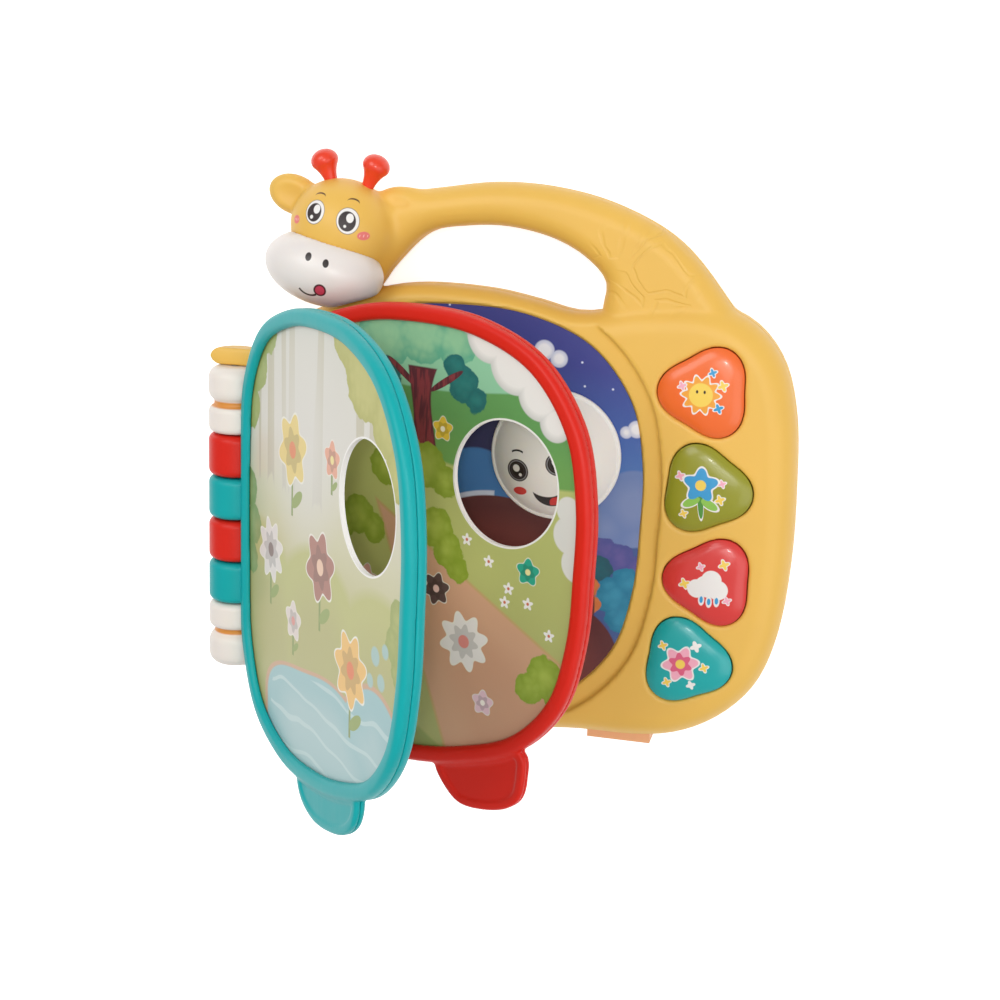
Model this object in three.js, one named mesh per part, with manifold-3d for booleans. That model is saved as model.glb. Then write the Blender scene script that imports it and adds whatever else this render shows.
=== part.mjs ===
// An electronic sound book for a baby: a yellow case with a giraffe handle, four press
// buttons, a moon lamp, and two framed pages that turn on a ringed spine.
// Millimetres. While it is built, x runs right from the spine's axis, y runs up the book to
// the handle, and z runs out of the front from the flat back that it lies on.
import * as THREE from 'three';
import { mergeVertices } from 'three/addons/utils/BufferGeometryUtils.js';
import Module from 'manifold-3d';

const wasm = await Module();
wasm.setup();

// Case
const CASE_ROUND = 6;
const CASE_WALL = 2.4;
const SEAM_DROP = 13.5;
const RIM_DROP = 2.5;
const PICTURE_DROP = 1.5;
const PANEL_LEFT_X = 128;
const STEP_MARGIN = 3.4;
const PICTURE_MARGIN = 3.93;
const GAP = 0.3;
const BEYOND_CASE = 300;

// Handle, which is the giraffe's neck and head
const NECK_BACK_Z = 4;
const NECK_FRONT_DROP = 3.5;
const NECK_ROUND = 5.5;
const HEAD_PLACE = [38, 200];
const HEAD_DROP = 5.5;
const HEAD_RADII = [21.2, 19, 18.5];
const HEAD_TILT = -0.2;
const MUZZLE_FROM_HEAD = [-3.5, -14.8, 8];
const MUZZLE_RADII = [24.6, 13.8, 17];
const MUZZLE_TILT = -0.17;
const EAR_RADII = [11, 7.4, 4.2];
const LEFT_EAR_FROM_HEAD = [-20.5, 9.5, -3];
const LEFT_EAR_TILT = -0.25;
const RIGHT_EAR_FROM_HEAD = [22, 10.5, -4];
const RIGHT_EAR_TILT = 0.2;
const HORN_BULB = 4.9;
const HORN_STEM = 2.5;
const HORN_HEIGHT = 15;
const HORN_PEG_RADIUS = 1.6;
const HORN_PEG_LENGTH = 5;
const HORN_ROOT = 3;
const HORN_FLARE = 0.5;
const LEFT_HORN_FROM_HEAD = [-4.6, 16.2, 0];
const LEFT_HORN_LEAN = 0.28;
const RIGHT_HORN_FROM_HEAD = [9, 15.2, 0];
const RIGHT_HORN_LEAN = -0.24;

// Pages
const AXIS_Z = 42;
const PAGE_THICKNESS = 8;
const PAGE_ROUND = 2.4;
const FRAME_WIDTH = 6.5;
const FRAME_WALL = 3.6;
const CARD_THICKNESS = 2.6;
const HOLE_CENTRE = [128.6, 116];
const HOLE_RADIUS = 23.4;
const RED_DROP = 10.1;
const TEAL_DROP = 1.56;
const RED_ANGLE = 23.68;
const TEAL_ANGLE = 48.45;
const TAB_THICKNESS = 4.4;
const TAB_INSET = 4.5;
const TAB_RECESS = 0.8;
const RED_TAB = { centre: [119.5, 0.5], radii: [22.5, 16.5], tilt: 0.12 };
const TEAL_TAB = { centre: [92, -3.5], radii: [28, 15.5], tilt: 0.1 };

// Spine
const ROD_RADIUS = 1.6;
const BARREL_RADIUS = 11;
const BARREL_ROUND = 2.6;
const KNUCKLE_PITCH = 17.5;
const KNUCKLE_GAP = 0.6;
const SPINE_MIDDLE_Y = 82.5;
const RING_LENGTH = 12;
const CAP_LENGTH = 15;
const RING_GROOVE = 1.4;
const GROOVE_DEPTH = 2.2;
const END_WALL = 1.6;
const WEB_REACH = 15;
const FOOT_HALF_WIDTH = 8;
const FOOT_INSET = 1.5;

// Buttons
const BUTTON_RADIUS = 16;
const BUTTON_POINT = 0.09;
const BUTTON_GAP = 0.4;
const BUTTON_PROUD = 2.4;
const BUTTON_LIP = 0.9;
const BUTTON_LIP_THICKNESS = 1.2;
const BUTTON_STEM_RADIUS = 4;
const BUTTON_TRAVEL = 1.6;
const ORANGE_PLACE = [187.6, 144.8];
const OLIVE_PLACE = [188, 108.7];
const RED_PLACE = [192.8, 71.3];
const TEAL_PLACE = [186.6, 38.2];
const BUTTONS = [
  { name: 'orange', centre: ORANGE_PLACE, turn: Math.PI },
  { name: 'olive', centre: OLIVE_PLACE, turn: -0.1 },
  { name: 'red', centre: RED_PLACE, turn: Math.PI },
  { name: 'teal', centre: TEAL_PLACE, turn: -0.08 },
];

// Moon lamp
const MOON_RADIUS = 22.2;
const MOON_HEIGHT = 12.5;
const MOON_FLANGE_RADIUS = 26.1;
const MOON_FLANGE_THICKNESS = 1.6;
const MOON_WALL = 1.8;
const MOON_SKIRT_RADIUS = 18;
const MOON_SKIRT_DEPTH = 4;

// Inside
const BOARD_LOW = [165, 28];
const BOARD_HIGH = [201, 158];
const BOARD_THICKNESS = 1.6;
const BOARD_BELOW_SEAM = 2;
const PAD_RADIUS = 5.5;
const PAD_HEIGHT = 3.6;
const SPEAKER_CENTRE = [66, 128];
const SPEAKER_RADIUS = 20;
const SPEAKER_DEPTH = 12;
const GRILLE_SLOTS = 7;
const GRILLE_PITCH = 4.6;
const GRILLE_SLOT_WIDTH = 2.2;
const BAY_CENTRE = [60, 56];
const CELL_RADIUS = 7.1;
const CELL_LENGTH = 50;
const CELL_NUB = 1.2;
const CELL_SPACING = 14.8;
const CELL_CLEARANCE = 1;
const SPRING_LENGTH = 5;
const SPRING_TURNS = 3;
const SPRING_WIRE = 0.45;
const SPRING_RADIUS = 4.6;
const SPRING_TAPER = 2;
const PLATE_THICKNESS = 0.6;
const BAY_SIDE_CLEARANCE = 1;
const BAY_WALL = 1.8;
const BAY_HEADROOM = 1.3;
const DOOR_LEDGE = 3.2;
const DOOR_THICKNESS = 1.8;
const SWITCH_CENTRE = [118, 52];
const SWITCH_TRAVEL = 3;
const SWITCH_KNOB = [3.6, 5];
const SWITCH_BODY = [9, 20, 6.5];
const SCREW_RADIUS = 1.2;
const SCREW_HEAD_RADIUS = 2.6;
const SCREW_HEAD_HEIGHT = 1.6;
const BOSS_RADIUS = 4;
const BOSS_WELL_RADIUS = 2.9;
const BOSS_WELL_DEPTH = 8;
const HOUSING_SCREW_LENGTH = 13;
const BOARD_SCREW_LENGTH = 7;
const DOOR_SCREW_LENGTH = 6;
const DOOR_SCREW_HEAD_HEIGHT = 0.8;
const HOUSING_SCREWS = [[18, 34], [20, 142], [96, 6], [100, 170], [214, 100], [158, 166]];
const BOARD_SCREWS = [[171, 126], [172, 55], [196, 90]];
const STRIP_LOW = [145.5, -3];
const STRIP_HIGH = [171.5, 6];
const STRIP_BELOW_SEAM = 9;
const STRIP_ABOVE_SEAM = 4;

// How finely round things are divided
const PAGE_STEPS = 42;
const CASE_STEPS = 50;
const NECK_STEPS = 42;
const ROUND_STEPS = 2;
const FINE = 20;
const COARSE = 8;

// Heights and places that follow from the sizes above. The case is as deep as the battery bay
// under the picture makes it.
const LEDGE_Z = DOOR_THICKNESS + 2 * GAP;
const BAY_TOP_Z = LEDGE_Z + CASE_WALL + 2 * CELL_RADIUS + CELL_CLEARANCE;
const CASE_DEPTH = BAY_TOP_Z + BAY_WALL + BAY_HEADROOM + CASE_WALL + PICTURE_DROP + RIM_DROP;
const SEAM_Z = CASE_DEPTH - SEAM_DROP;
const BOARD_Z = SEAM_Z - BOARD_BELOW_SEAM;
const RIM_Z = CASE_DEPTH - RIM_DROP;
const PICTURE_Z = RIM_Z - PICTURE_DROP;
const PANEL_UNDER_Z = CASE_DEPTH - CASE_WALL;
const HALF_PAGE = PAGE_THICKNESS / 2;
const KNUCKLES_LOW_Y = SPINE_MIDDLE_Y - 2 * KNUCKLE_PITCH;
const KNUCKLES_HIGH_Y = SPINE_MIDDLE_Y + 2 * KNUCKLE_PITCH;
const SPINE_END_LENGTH = RING_LENGTH + CAP_LENGTH;
const NECK_FRONT_Z = CASE_DEPTH - NECK_FRONT_DROP;
const HEAD_CENTRE = [...HEAD_PLACE, CASE_DEPTH - HEAD_DROP];
const MUZZLE_CENTRE = fromHead(MUZZLE_FROM_HEAD);
const EARS = [
  { centre: fromHead(LEFT_EAR_FROM_HEAD), tilt: LEFT_EAR_TILT },
  { centre: fromHead(RIGHT_EAR_FROM_HEAD), tilt: RIGHT_EAR_TILT },
];
const HORNS = [
  { name: 'horn_left', foot: fromHead(LEFT_HORN_FROM_HEAD), lean: LEFT_HORN_LEAN },
  { name: 'horn_right', foot: fromHead(RIGHT_HORN_FROM_HEAD), lean: RIGHT_HORN_LEAN },
];

// The case's outline without the handle, anticlockwise from the middle of the left side.
const CASE_POINTS = [
  [-10.5, 88], [-10, 42], [-4, 20], [20, 0], [54, -7.5], [100, -4.5], [140, 0], [165, 0.6],
  [180, 3], [193, 8.6], [205, 18], [213.5, 29.5], [219.6, 48], [222.6, 76],
  [222.6, 106], [220.2, 138], [214, 159], [202, 173], [186, 180], [160, 182],
  [128, 180.8], [98, 182.3], [60, 180.2], [26, 167.5], [2, 152],
  [-9, 134],
];

// A page's outline, anticlockwise from the middle of its free edge.
const PAGE_POINTS = [
  [167.6, 88], [167.4, 114], [161.4, 140.5], [143.5, 163], [116, 174.6], [86, 177],
  [57, 174], [29.5, 163], [13, 141], [9, 113], [9, 63], [11.5, 34], [26, 8.5],
  [55, -3], [86, -2.2], [114, 4], [140.5, 15.6], [158.6, 36], [166, 62],
];

// The neck's outline: its upper edge from the case to the head, down behind the head, its
// lower edge back to the case, and a root inside the case.
const NECK_POINTS = [
  [200, 165], [190, 181], [171, 201.5], [147, 213.6], [123, 219.2], [99, 220.2],
  [78, 217.4], [58, 213.5], [38, 205], [30, 189], [37, 175], [49, 175], [57, 185],
  [71.7, 199.2], [88, 202.8], [104, 203.3], [123, 199.4], [136.3, 192.3],
  [143.6, 184], [143, 172], [151, 160], [173, 153], [193, 156],
];

// A place given from the middle of the head.
function fromHead(offset) {
  return HEAD_CENTRE.map((value, i) => value + offset[i]);
}

// Turns a closed three.js geometry into a solid that can be joined and cut.
function solid(geometry) {
  const bare = geometry.index ? geometry.toNonIndexed() : geometry.clone();
  bare.deleteAttribute('normal');
  bare.deleteAttribute('uv');
  const merged = mergeVertices(bare, 1e-4);
  return new wasm.Manifold(new wasm.Mesh({
    numProp: 3,
    vertProperties: new Float32Array(merged.attributes.position.array),
    triVerts: new Uint32Array(merged.index.array),
  }));
}

// Turns a solid back into a three.js geometry.
function geometryOf(shape) {
  const mesh = shape.getMesh();
  const geometry = new THREE.BufferGeometry();
  geometry.setAttribute('position', new THREE.BufferAttribute(mesh.vertProperties, 3));
  geometry.setIndex(new THREE.BufferAttribute(mesh.triVerts, 1));
  return geometry;
}

function join(...shapes) {
  return shapes.reduce((sum, shape) => sum.add(shape));
}

function cut(shape, ...tools) {
  return tools.reduce((left, tool) => left.subtract(tool), shape);
}

// A block between two corners.
function block(low, high) {
  const size = high.map((value, i) => value - low[i]);
  const box = new THREE.BoxGeometry(...size);
  box.translate(...low.map((value, i) => (value + high[i]) / 2));
  return solid(box);
}

// An upright cylinder at x, y between two heights.
function post(x, y, z0, z1, radius, sides = COARSE) {
  const geometry = new THREE.CylinderGeometry(radius, radius, z1 - z0, sides);
  geometry.rotateX(Math.PI / 2);
  geometry.translate(x, y, (z0 + z1) / 2);
  return solid(geometry);
}

// An upright turned piece at x, y, z from radius and height pairs.
function turned(x, y, z, profile, sides = FINE) {
  const geometry = new THREE.LatheGeometry(profile.map((p) => new THREE.Vector2(...p)), sides);
  geometry.rotateX(Math.PI / 2);
  geometry.translate(x, y, z);
  return solid(geometry);
}

// An egg with three radii, turned about z.
function egg(centre, radii, tilt, grow = 0) {
  const geometry = new THREE.SphereGeometry(1, FINE, COARSE);
  geometry.rotateX(Math.PI / 2);
  geometry.scale(...radii.map((radius) => radius + grow));
  geometry.rotateZ(tilt);
  geometry.translate(...centre);
  return solid(geometry);
}

// Moves each point of a closed outline outwards by grow, along the outline's normal.
function grown(points, grow) {
  return points.map((point, i) => {
    const before = points[(i + points.length - 1) % points.length];
    const after = points[(i + 1) % points.length];
    const along = after.clone().sub(before).normalize();
    return new THREE.Vector2(point.x + grow * along.y, point.y - grow * along.x);
  });
}

// A flat slab of a closed outline between two heights, its edges rounded.
function slab(points, z0, z1, round = 0) {
  const geometry = new THREE.ExtrudeGeometry(new THREE.Shape(points), {
    depth: z1 - z0 - 2 * round,
    bevelEnabled: round > 0,
    bevelThickness: round,
    bevelSize: round,
    bevelOffset: -round,
    bevelSegments: ROUND_STEPS,
  });
  geometry.translate(0, 0, z0 + round);
  return solid(geometry);
}

// A smooth closed outline through a few points.
function smoothOutline(corners, steps) {
  const curve = new THREE.CatmullRomCurve3(
    corners.map(([x, y]) => new THREE.Vector3(x, y, 0)), true, 'centripetal');
  return curve.getSpacedPoints(steps).slice(0, -1).map((p) => new THREE.Vector2(p.x, p.y));
}

// The page's outline, moved outwards by grow.
function pageOutline(grow) {
  return grown(smoothOutline(PAGE_POINTS, PAGE_STEPS), grow);
}

// A button's outline: a circle whose radius swells at three corners.
function buttonOutline(button, grow) {
  const points = [];
  for (let i = 0; i < FINE; i += 1) {
    const t = (2 * Math.PI * i) / FINE;
    const radius = BUTTON_RADIUS * (1 + BUTTON_POINT * Math.cos(3 * (t - button.turn)));
    points.push(new THREE.Vector2(
      button.centre[0] + radius * Math.cos(t), button.centre[1] + radius * Math.sin(t)));
  }
  return grown(points, grow);
}

// A thumb tab's outline: an ellipse with squared shoulders, a little turned.
function tabOutline(tab, grow) {
  const points = [];
  for (let i = 0; i < FINE; i += 1) {
    const t = (2 * Math.PI * i) / FINE;
    const x = tab.radii[0] * Math.sign(Math.cos(t)) * Math.sqrt(Math.abs(Math.cos(t)));
    const y = tab.radii[1] * Math.sign(Math.sin(t)) * Math.abs(Math.sin(t)) ** 0.7;
    const point = new THREE.Vector2(x, y).rotateAround(new THREE.Vector2(), tab.tilt);
    points.push(point.add(new THREE.Vector2(...tab.centre)));
  }
  return grown(points, grow);
}

// A barrel's profile along the spine's axis, between two places in y, with rounded ends.
function barrelProfile(y0, y1) {
  const soft = [];
  for (let i = 0; i <= ROUND_STEPS; i += 1) {
    const t = (Math.PI / 2) * (i / ROUND_STEPS);
    soft.push([
      BARREL_RADIUS - BARREL_ROUND * (1 - Math.sin(t)), y0 + BARREL_ROUND * (1 - Math.cos(t))]);
  }
  return [...soft, ...soft.map(([r, y]) => [r, y0 + y1 - y]).reverse()];
}

// A turned solid round the spine's axis, at height 0, from radius and y pairs.
function onSpine(profile) {
  const closed = [[0, profile[0][1]], ...profile, [0, profile[profile.length - 1][1]]];
  return solid(new THREE.LatheGeometry(closed.map((p) => new THREE.Vector2(...p)), FINE));
}

// A plain round bar along the spine's axis.
function bar(y0, y1, radius, sides = COARSE) {
  const geometry = new THREE.CylinderGeometry(radius, radius, y1 - y0, sides);
  geometry.translate(0, (y0 + y1) / 2, 0);
  return solid(geometry);
}

const PAINT = {
  yellow: ['#ecbe5a', 0.4], white: ['#f0e8e2', 0.4], red: ['#da2e1e', 0.35],
  teal: ['#14afaf', 0.35], orange: ['#f56e28', 0.25], olive: ['#96961e', 0.25],
  horn: ['#eb3e20', 0.35], peach: ['#f5b482', 0.6], night: ['#35509a', 0.5],
  green: ['#8fae54', 0.5], pale: ['#cfd8c4', 0.5], board: ['#2f6b3a', 0.6],
  rubber: ['#8d8d90', 0.8], black: ['#232325', 0.6], steel: ['#a9abad', 0.35, 1],
  cell: ['#3a4450', 0.4],
};

function makePart(name, shape, paint) {
  const [color, roughness, metalness = 0] = PAINT[paint];
  const mesh = new THREE.Mesh(
    geometryOf(shape), new THREE.MeshStandardMaterial({ color, roughness, metalness }));
  mesh.name = name;
  return mesh;
}

const toy = new THREE.Group();
const caseOutline = smoothOutline(CASE_POINTS, CASE_STEPS);
const neckOutline = smoothOutline(NECK_POINTS, NECK_STEPS);

// The whole outer form of the yellow case, handle and head, grown or shrunk by a wall.
function caseForm(grow) {
  const body = slab(grown(caseOutline, grow), -grow, CASE_DEPTH + grow, CASE_ROUND + grow);
  const neck = slab(
    grown(neckOutline, grow), NECK_BACK_Z - grow, NECK_FRONT_Z + grow, NECK_ROUND + grow);
  const head = egg(HEAD_CENTRE, HEAD_RADII, HEAD_TILT, grow);
  return join(body, neck, head);
}

function ears() {
  return join(...EARS.map((ear) => egg(ear.centre, EAR_RADII, ear.tilt)));
}

// Horns: a bulb on a waisted stem, with a peg that plugs into the head.
function hornForm(horn) {
  const profile = [[0, -HORN_ROOT]];
  for (let i = 0; i <= 4; i += 1) {
    const t = i / 4;
    const waist = HORN_STEM + HORN_FLARE * (1 - t) ** 2;
    profile.push([waist, t * (HORN_HEIGHT - 2 * HORN_BULB) - HORN_ROOT * (1 - t)]);
  }
  for (let i = 2; i <= 8; i += 1) {
    const t = -Math.PI / 2 + (Math.PI * i) / 8;
    const ring = HORN_BULB * Math.cos(t);
    profile.push([Math.max(ring, 0), HORN_HEIGHT - HORN_BULB + HORN_BULB * Math.sin(t)]);
  }
  const sharp = new THREE.LatheGeometry(profile.map((p) => new THREE.Vector2(...p)), COARSE);
  sharp.rotateZ(horn.lean);
  sharp.translate(...horn.foot);
  return solid(sharp);
}

function hornPeg(horn, radius) {
  const peg = new THREE.CylinderGeometry(radius, radius, 2 * HORN_PEG_LENGTH, COARSE);
  peg.translate(0, HORN_PEG_LENGTH / 2, 0);
  peg.rotateZ(horn.lean);
  peg.translate(...horn.foot);
  return solid(peg);
}

const headGrown = egg(HEAD_CENTRE, HEAD_RADII, HEAD_TILT, GAP);
const neckGrown = slab(
  grown(neckOutline, GAP), NECK_BACK_Z - GAP, NECK_FRONT_Z + GAP, NECK_ROUND + GAP);

for (const horn of HORNS) {
  const form = cut(hornForm(horn), headGrown);
  toy.add(makePart(horn.name, join(form, hornPeg(horn, HORN_PEG_RADIUS)), 'horn'));
}

// Muzzle: a white cup over the front of the head.
const muzzleForm = egg(MUZZLE_CENTRE, MUZZLE_RADII, MUZZLE_TILT);
const muzzleInside = egg(MUZZLE_CENTRE, MUZZLE_RADII, MUZZLE_TILT, -CASE_WALL);
const caseBehindMuzzle = slab(
  grown(caseOutline, GAP), -GAP, CASE_DEPTH + GAP, CASE_ROUND + GAP);
const muzzle = cut(muzzleForm, muzzleInside, headGrown, neckGrown, caseBehindMuzzle)
  .trimByPlane([0, 0, 1], SEAM_Z + GAP);
const [cup] = muzzle.decompose().sort((a, b) => b.volume() - a.volume());
toy.add(makePart('muzzle', cup, 'white'));

// Screws: a pan head with a shank that points up from it.
function screw(x, y, z, length) {
  return turned(x, y, z, [
    [0, 0], [SCREW_HEAD_RADIUS - 0.5, 0], [SCREW_HEAD_RADIUS, 0.5],
    [SCREW_HEAD_RADIUS, SCREW_HEAD_HEIGHT], [SCREW_RADIUS, SCREW_HEAD_HEIGHT],
    [SCREW_RADIUS, length - 1], [0, length],
  ], COARSE);
}

// Rear housing: the back shell with its screw bosses, battery bay, speaker ring and posts.
const cellsHalfWidth = CELL_SPACING / 2 + CELL_RADIUS + BAY_SIDE_CLEARANCE;
const bayHalfLength = (SPRING_LENGTH + CELL_LENGTH + CELL_NUB + PLATE_THICKNESS + 3 * GAP) / 2;
const [bayX, bayY] = BAY_CENTRE;
const doorHalf = [cellsHalfWidth + DOOR_LEDGE, bayHalfLength + DOOR_LEDGE + SCREW_HEAD_RADIUS];
const doorScrewY = bayY + bayHalfLength + DOOR_LEDGE;

function bayBox(halfX, halfY, z0, z1) {
  return block([bayX - halfX, bayY - halfY, z0], [bayX + halfX, bayY + halfY, z1]);
}

const innerForm = caseForm(-CASE_WALL);
const outerForm = join(caseForm(0), ears());
const [speakerX, speakerY] = SPEAKER_CENTRE;
const [moonX, moonY] = HOLE_CENTRE;
const [switchX, switchY] = SWITCH_CENTRE;
const boardPostTop = BOARD_Z - GAP;
const ledPostTop = SEAM_Z - GAP;
let rear = cut(outerForm, innerForm);
for (const [x, y] of HOUSING_SCREWS) {
  rear = cut(
    join(rear, post(x, y, CASE_WALL / 2, SEAM_Z + 1, BOSS_RADIUS)),
    post(x, y, -1, BOSS_WELL_DEPTH, BOSS_WELL_RADIUS),
    post(x, y, -1, SEAM_Z + 2, SCREW_RADIUS + GAP));
}
rear = rear.trimByPlane([0, 0, -1], -(SEAM_Z - GAP / 2));
for (const [x, y] of BOARD_SCREWS) {
  rear = cut(
    join(rear, post(x, y, CASE_WALL / 2, boardPostTop, BOSS_RADIUS - 1)),
    post(x, y, boardPostTop - BOARD_SCREW_LENGTH, SEAM_Z, SCREW_RADIUS + GAP));
}
rear = join(
  rear,
  bayBox(doorHalf[0] + BAY_WALL, doorHalf[1] + BAY_WALL, 0.5, LEDGE_Z + BAY_WALL),
  bayBox(cellsHalfWidth + BAY_WALL, bayHalfLength + BAY_WALL, 0.5, BAY_TOP_Z + BAY_WALL),
  post(bayX, doorScrewY, LEDGE_Z, LEDGE_Z + DOOR_SCREW_LENGTH, BOSS_RADIUS - 1),
  post(speakerX, speakerY, CASE_WALL / 2, CASE_WALL + 4, SPEAKER_RADIUS + GAP + BAY_WALL, FINE),
  post(moonX, moonY, CASE_WALL / 2, ledPostTop, BOSS_RADIUS),
);
rear = cut(
  rear,
  bayBox(doorHalf[0] + GAP, doorHalf[1] + GAP, -1, LEDGE_Z),
  bayBox(cellsHalfWidth, bayHalfLength, -1, BAY_TOP_Z),
  post(bayX, doorScrewY, -1, LEDGE_Z + DOOR_SCREW_LENGTH, SCREW_RADIUS + GAP),
  post(speakerX, speakerY, CASE_WALL, CASE_WALL + 5, SPEAKER_RADIUS + GAP, FINE),
  block(
    [switchX - SWITCH_KNOB[0] / 2 - 0.5, switchY - SWITCH_KNOB[1] / 2 - SWITCH_TRAVEL - 0.5, -1],
    [switchX + SWITCH_KNOB[0] / 2 + 0.5, switchY + SWITCH_KNOB[1] / 2 + SWITCH_TRAVEL + 0.5, 5]),
);
for (let i = 0; i < GRILLE_SLOTS; i += 1) {
  const across = (i - (GRILLE_SLOTS - 1) / 2) * GRILLE_PITCH;
  const half = Math.sqrt((SPEAKER_RADIUS - 3) ** 2 - across ** 2) - GRILLE_SLOT_WIDTH / 2;
  rear = cut(rear, block(
    [speakerX + across - GRILLE_SLOT_WIDTH / 2, speakerY - half, -1],
    [speakerX + across + GRILLE_SLOT_WIDTH / 2, speakerY + half, CASE_WALL + 1]));
}

// Front housing: the front shell with its picture bed, button windows and posts.
function recess(z0, z1, grow) {
  return slab(pageOutline(grow), z0, z1);
}

function leftOfPanel(x, z0, z1) {
  return block([-BEYOND_CASE, -BEYOND_CASE, z0], [x, BEYOND_CASE, z1]);
}

// The muzzle sits over the head, so nothing yellow stands inside its wall.
function muzzleSeat() {
  const shell = cut(
    egg(MUZZLE_CENTRE, MUZZLE_RADII, MUZZLE_TILT, GAP),
    egg(MUZZLE_CENTRE, MUZZLE_RADII, MUZZLE_TILT, -CASE_WALL - GAP));
  return cut(
    shell,
    egg(HEAD_CENTRE, HEAD_RADII, HEAD_TILT),
    slab(neckOutline, NECK_BACK_Z, NECK_FRONT_Z, NECK_ROUND),
    slab(caseOutline, 0, CASE_DEPTH, CASE_ROUND));
}

const bed = join(
  recess(PICTURE_Z - CASE_WALL, CASE_DEPTH, STEP_MARGIN + CASE_WALL),
  leftOfPanel(PANEL_LEFT_X + CASE_WALL, PICTURE_Z - CASE_WALL, CASE_DEPTH),
).intersect(slab(caseOutline, 0, CASE_DEPTH, CASE_ROUND));
const aboveRim = join(
  recess(RIM_Z, CASE_DEPTH + 1, STEP_MARGIN),
  leftOfPanel(PANEL_LEFT_X, RIM_Z, CASE_DEPTH + 1)
    .intersect(slab(grown(caseOutline, 1), RIM_Z, CASE_DEPTH + 1)),
);
let front = cut(join(cut(outerForm, innerForm), bed), aboveRim);
for (const [x, y] of HOUSING_SCREWS) {
  const ceiling = x < PANEL_LEFT_X ? PICTURE_Z - CASE_WALL : PANEL_UNDER_Z;
  front = cut(
    join(front, post(x, y, SEAM_Z - 1, ceiling + 1, BOSS_RADIUS - 0.6)),
    post(x, y, SEAM_Z - 2, BOSS_WELL_DEPTH + HOUSING_SCREW_LENGTH, SCREW_RADIUS + GAP));
}
front = cut(
  front,
  recess(PICTURE_Z, CASE_DEPTH + 1, -PICTURE_MARGIN),
  post(moonX, moonY, SEAM_Z, CASE_DEPTH, MOON_SKIRT_RADIUS + GAP, FINE),
  muzzleSeat(),
);
for (const button of BUTTONS) {
  front = cut(
    front,
    slab(buttonOutline(button, BUTTON_GAP), SEAM_Z, CASE_DEPTH + 1),
    slab(buttonOutline(button, BUTTON_LIP + GAP), SEAM_Z, PANEL_UNDER_Z));
}
for (const horn of HORNS) {
  front = cut(front, hornPeg(horn, HORN_PEG_RADIUS + GAP));
  rear = cut(rear, hornPeg(horn, HORN_PEG_RADIUS + GAP));
}

// The bottom strip is let into the seam at the lower edge.
function strip(grow) {
  return block(
    [...STRIP_LOW.map((value) => value - grow), SEAM_Z - STRIP_BELOW_SEAM - grow],
    [...STRIP_HIGH.map((value) => value + grow), SEAM_Z + STRIP_ABOVE_SEAM + grow]);
}

toy.add(makePart('bottom_strip', strip(0), 'peach'));
rear = cut(rear, strip(GAP));
front = cut(front, strip(GAP)).trimByPlane([0, 0, 1], SEAM_Z + GAP / 2);
toy.add(makePart('rear_housing', rear, 'yellow'));
toy.add(makePart('front_housing', front, 'yellow'));

// Screws that hold the case together, from the back.
HOUSING_SCREWS.forEach(([x, y], i) => {
  const z = BOSS_WELL_DEPTH - SCREW_HEAD_HEIGHT - GAP;
  toy.add(makePart(`housing_screw_${i + 1}`, screw(x, y, z, HOUSING_SCREW_LENGTH), 'steel'));
});

// Picture card and moon lens.
const pictureCard = cut(
  recess(PICTURE_Z + GAP, RIM_Z - GAP, -PICTURE_MARGIN - GAP),
  post(moonX, moonY, PICTURE_Z, RIM_Z, MOON_SKIRT_RADIUS + GAP, FINE));
toy.add(makePart('picture_card', pictureCard, 'night'));

function moonProfile() {
  const low = MOON_FLANGE_THICKNESS;
  const bend = (MOON_RADIUS ** 2 + MOON_HEIGHT ** 2) / (2 * MOON_HEIGHT);
  const full = Math.asin(MOON_RADIUS / bend);
  const outside = [];
  const inside = [];
  for (let i = 0; i <= 6; i += 1) {
    const t = full * (1 - i / 6);
    const top = low + MOON_HEIGHT - bend;
    outside.push([bend * Math.sin(t), top + bend * Math.cos(t)]);
    inside.push([(bend - MOON_WALL) * Math.sin(t) * 0.86, top + (bend - MOON_WALL) * Math.cos(t)]);
  }
  const skirtInside = MOON_SKIRT_RADIUS - MOON_WALL;
  return [
    ...inside.reverse(), [skirtInside, 0], [skirtInside, -MOON_SKIRT_DEPTH],
    [MOON_SKIRT_RADIUS, -MOON_SKIRT_DEPTH], [MOON_SKIRT_RADIUS, 0], [MOON_FLANGE_RADIUS, 0],
    [MOON_FLANGE_RADIUS, low - 0.6], [MOON_FLANGE_RADIUS - 0.6, low], ...outside,
  ];
}
toy.add(makePart('moon_lens', turned(moonX, moonY, RIM_Z, moonProfile()), 'white'));

// Buttons, each a domed cap with a lip under the panel and a stem over its rubber pad.
const padTop = BOARD_Z + BOARD_THICKNESS + GAP + PAD_HEIGHT;
for (const button of BUTTONS) {
  const [x, y] = button.centre;
  const lipTop = PANEL_UNDER_Z - GAP;
  const lipLow = lipTop - BUTTON_LIP_THICKNESS;
  const cap = slab(buttonOutline(button, 0), lipLow, CASE_DEPTH + BUTTON_PROUD, 1.8);
  const lip = slab(buttonOutline(button, BUTTON_LIP), lipLow, lipTop);
  const stem = post(x, y, padTop + BUTTON_TRAVEL + GAP, lipTop, BUTTON_STEM_RADIUS);
  const paint = button.name;
  toy.add(makePart(`button_${button.name}`, join(cap, lip, stem), paint));
  const pad = turned(x, y, BOARD_Z + BOARD_THICKNESS + GAP, [
    [0, 0], [PAD_RADIUS, 0], [PAD_RADIUS, 1], [PAD_RADIUS - 1.5, PAD_HEIGHT], [0, PAD_HEIGHT],
  ], COARSE);
  toy.add(makePart(`button_pad_${button.name}`, pad, 'rubber'));
}

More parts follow.
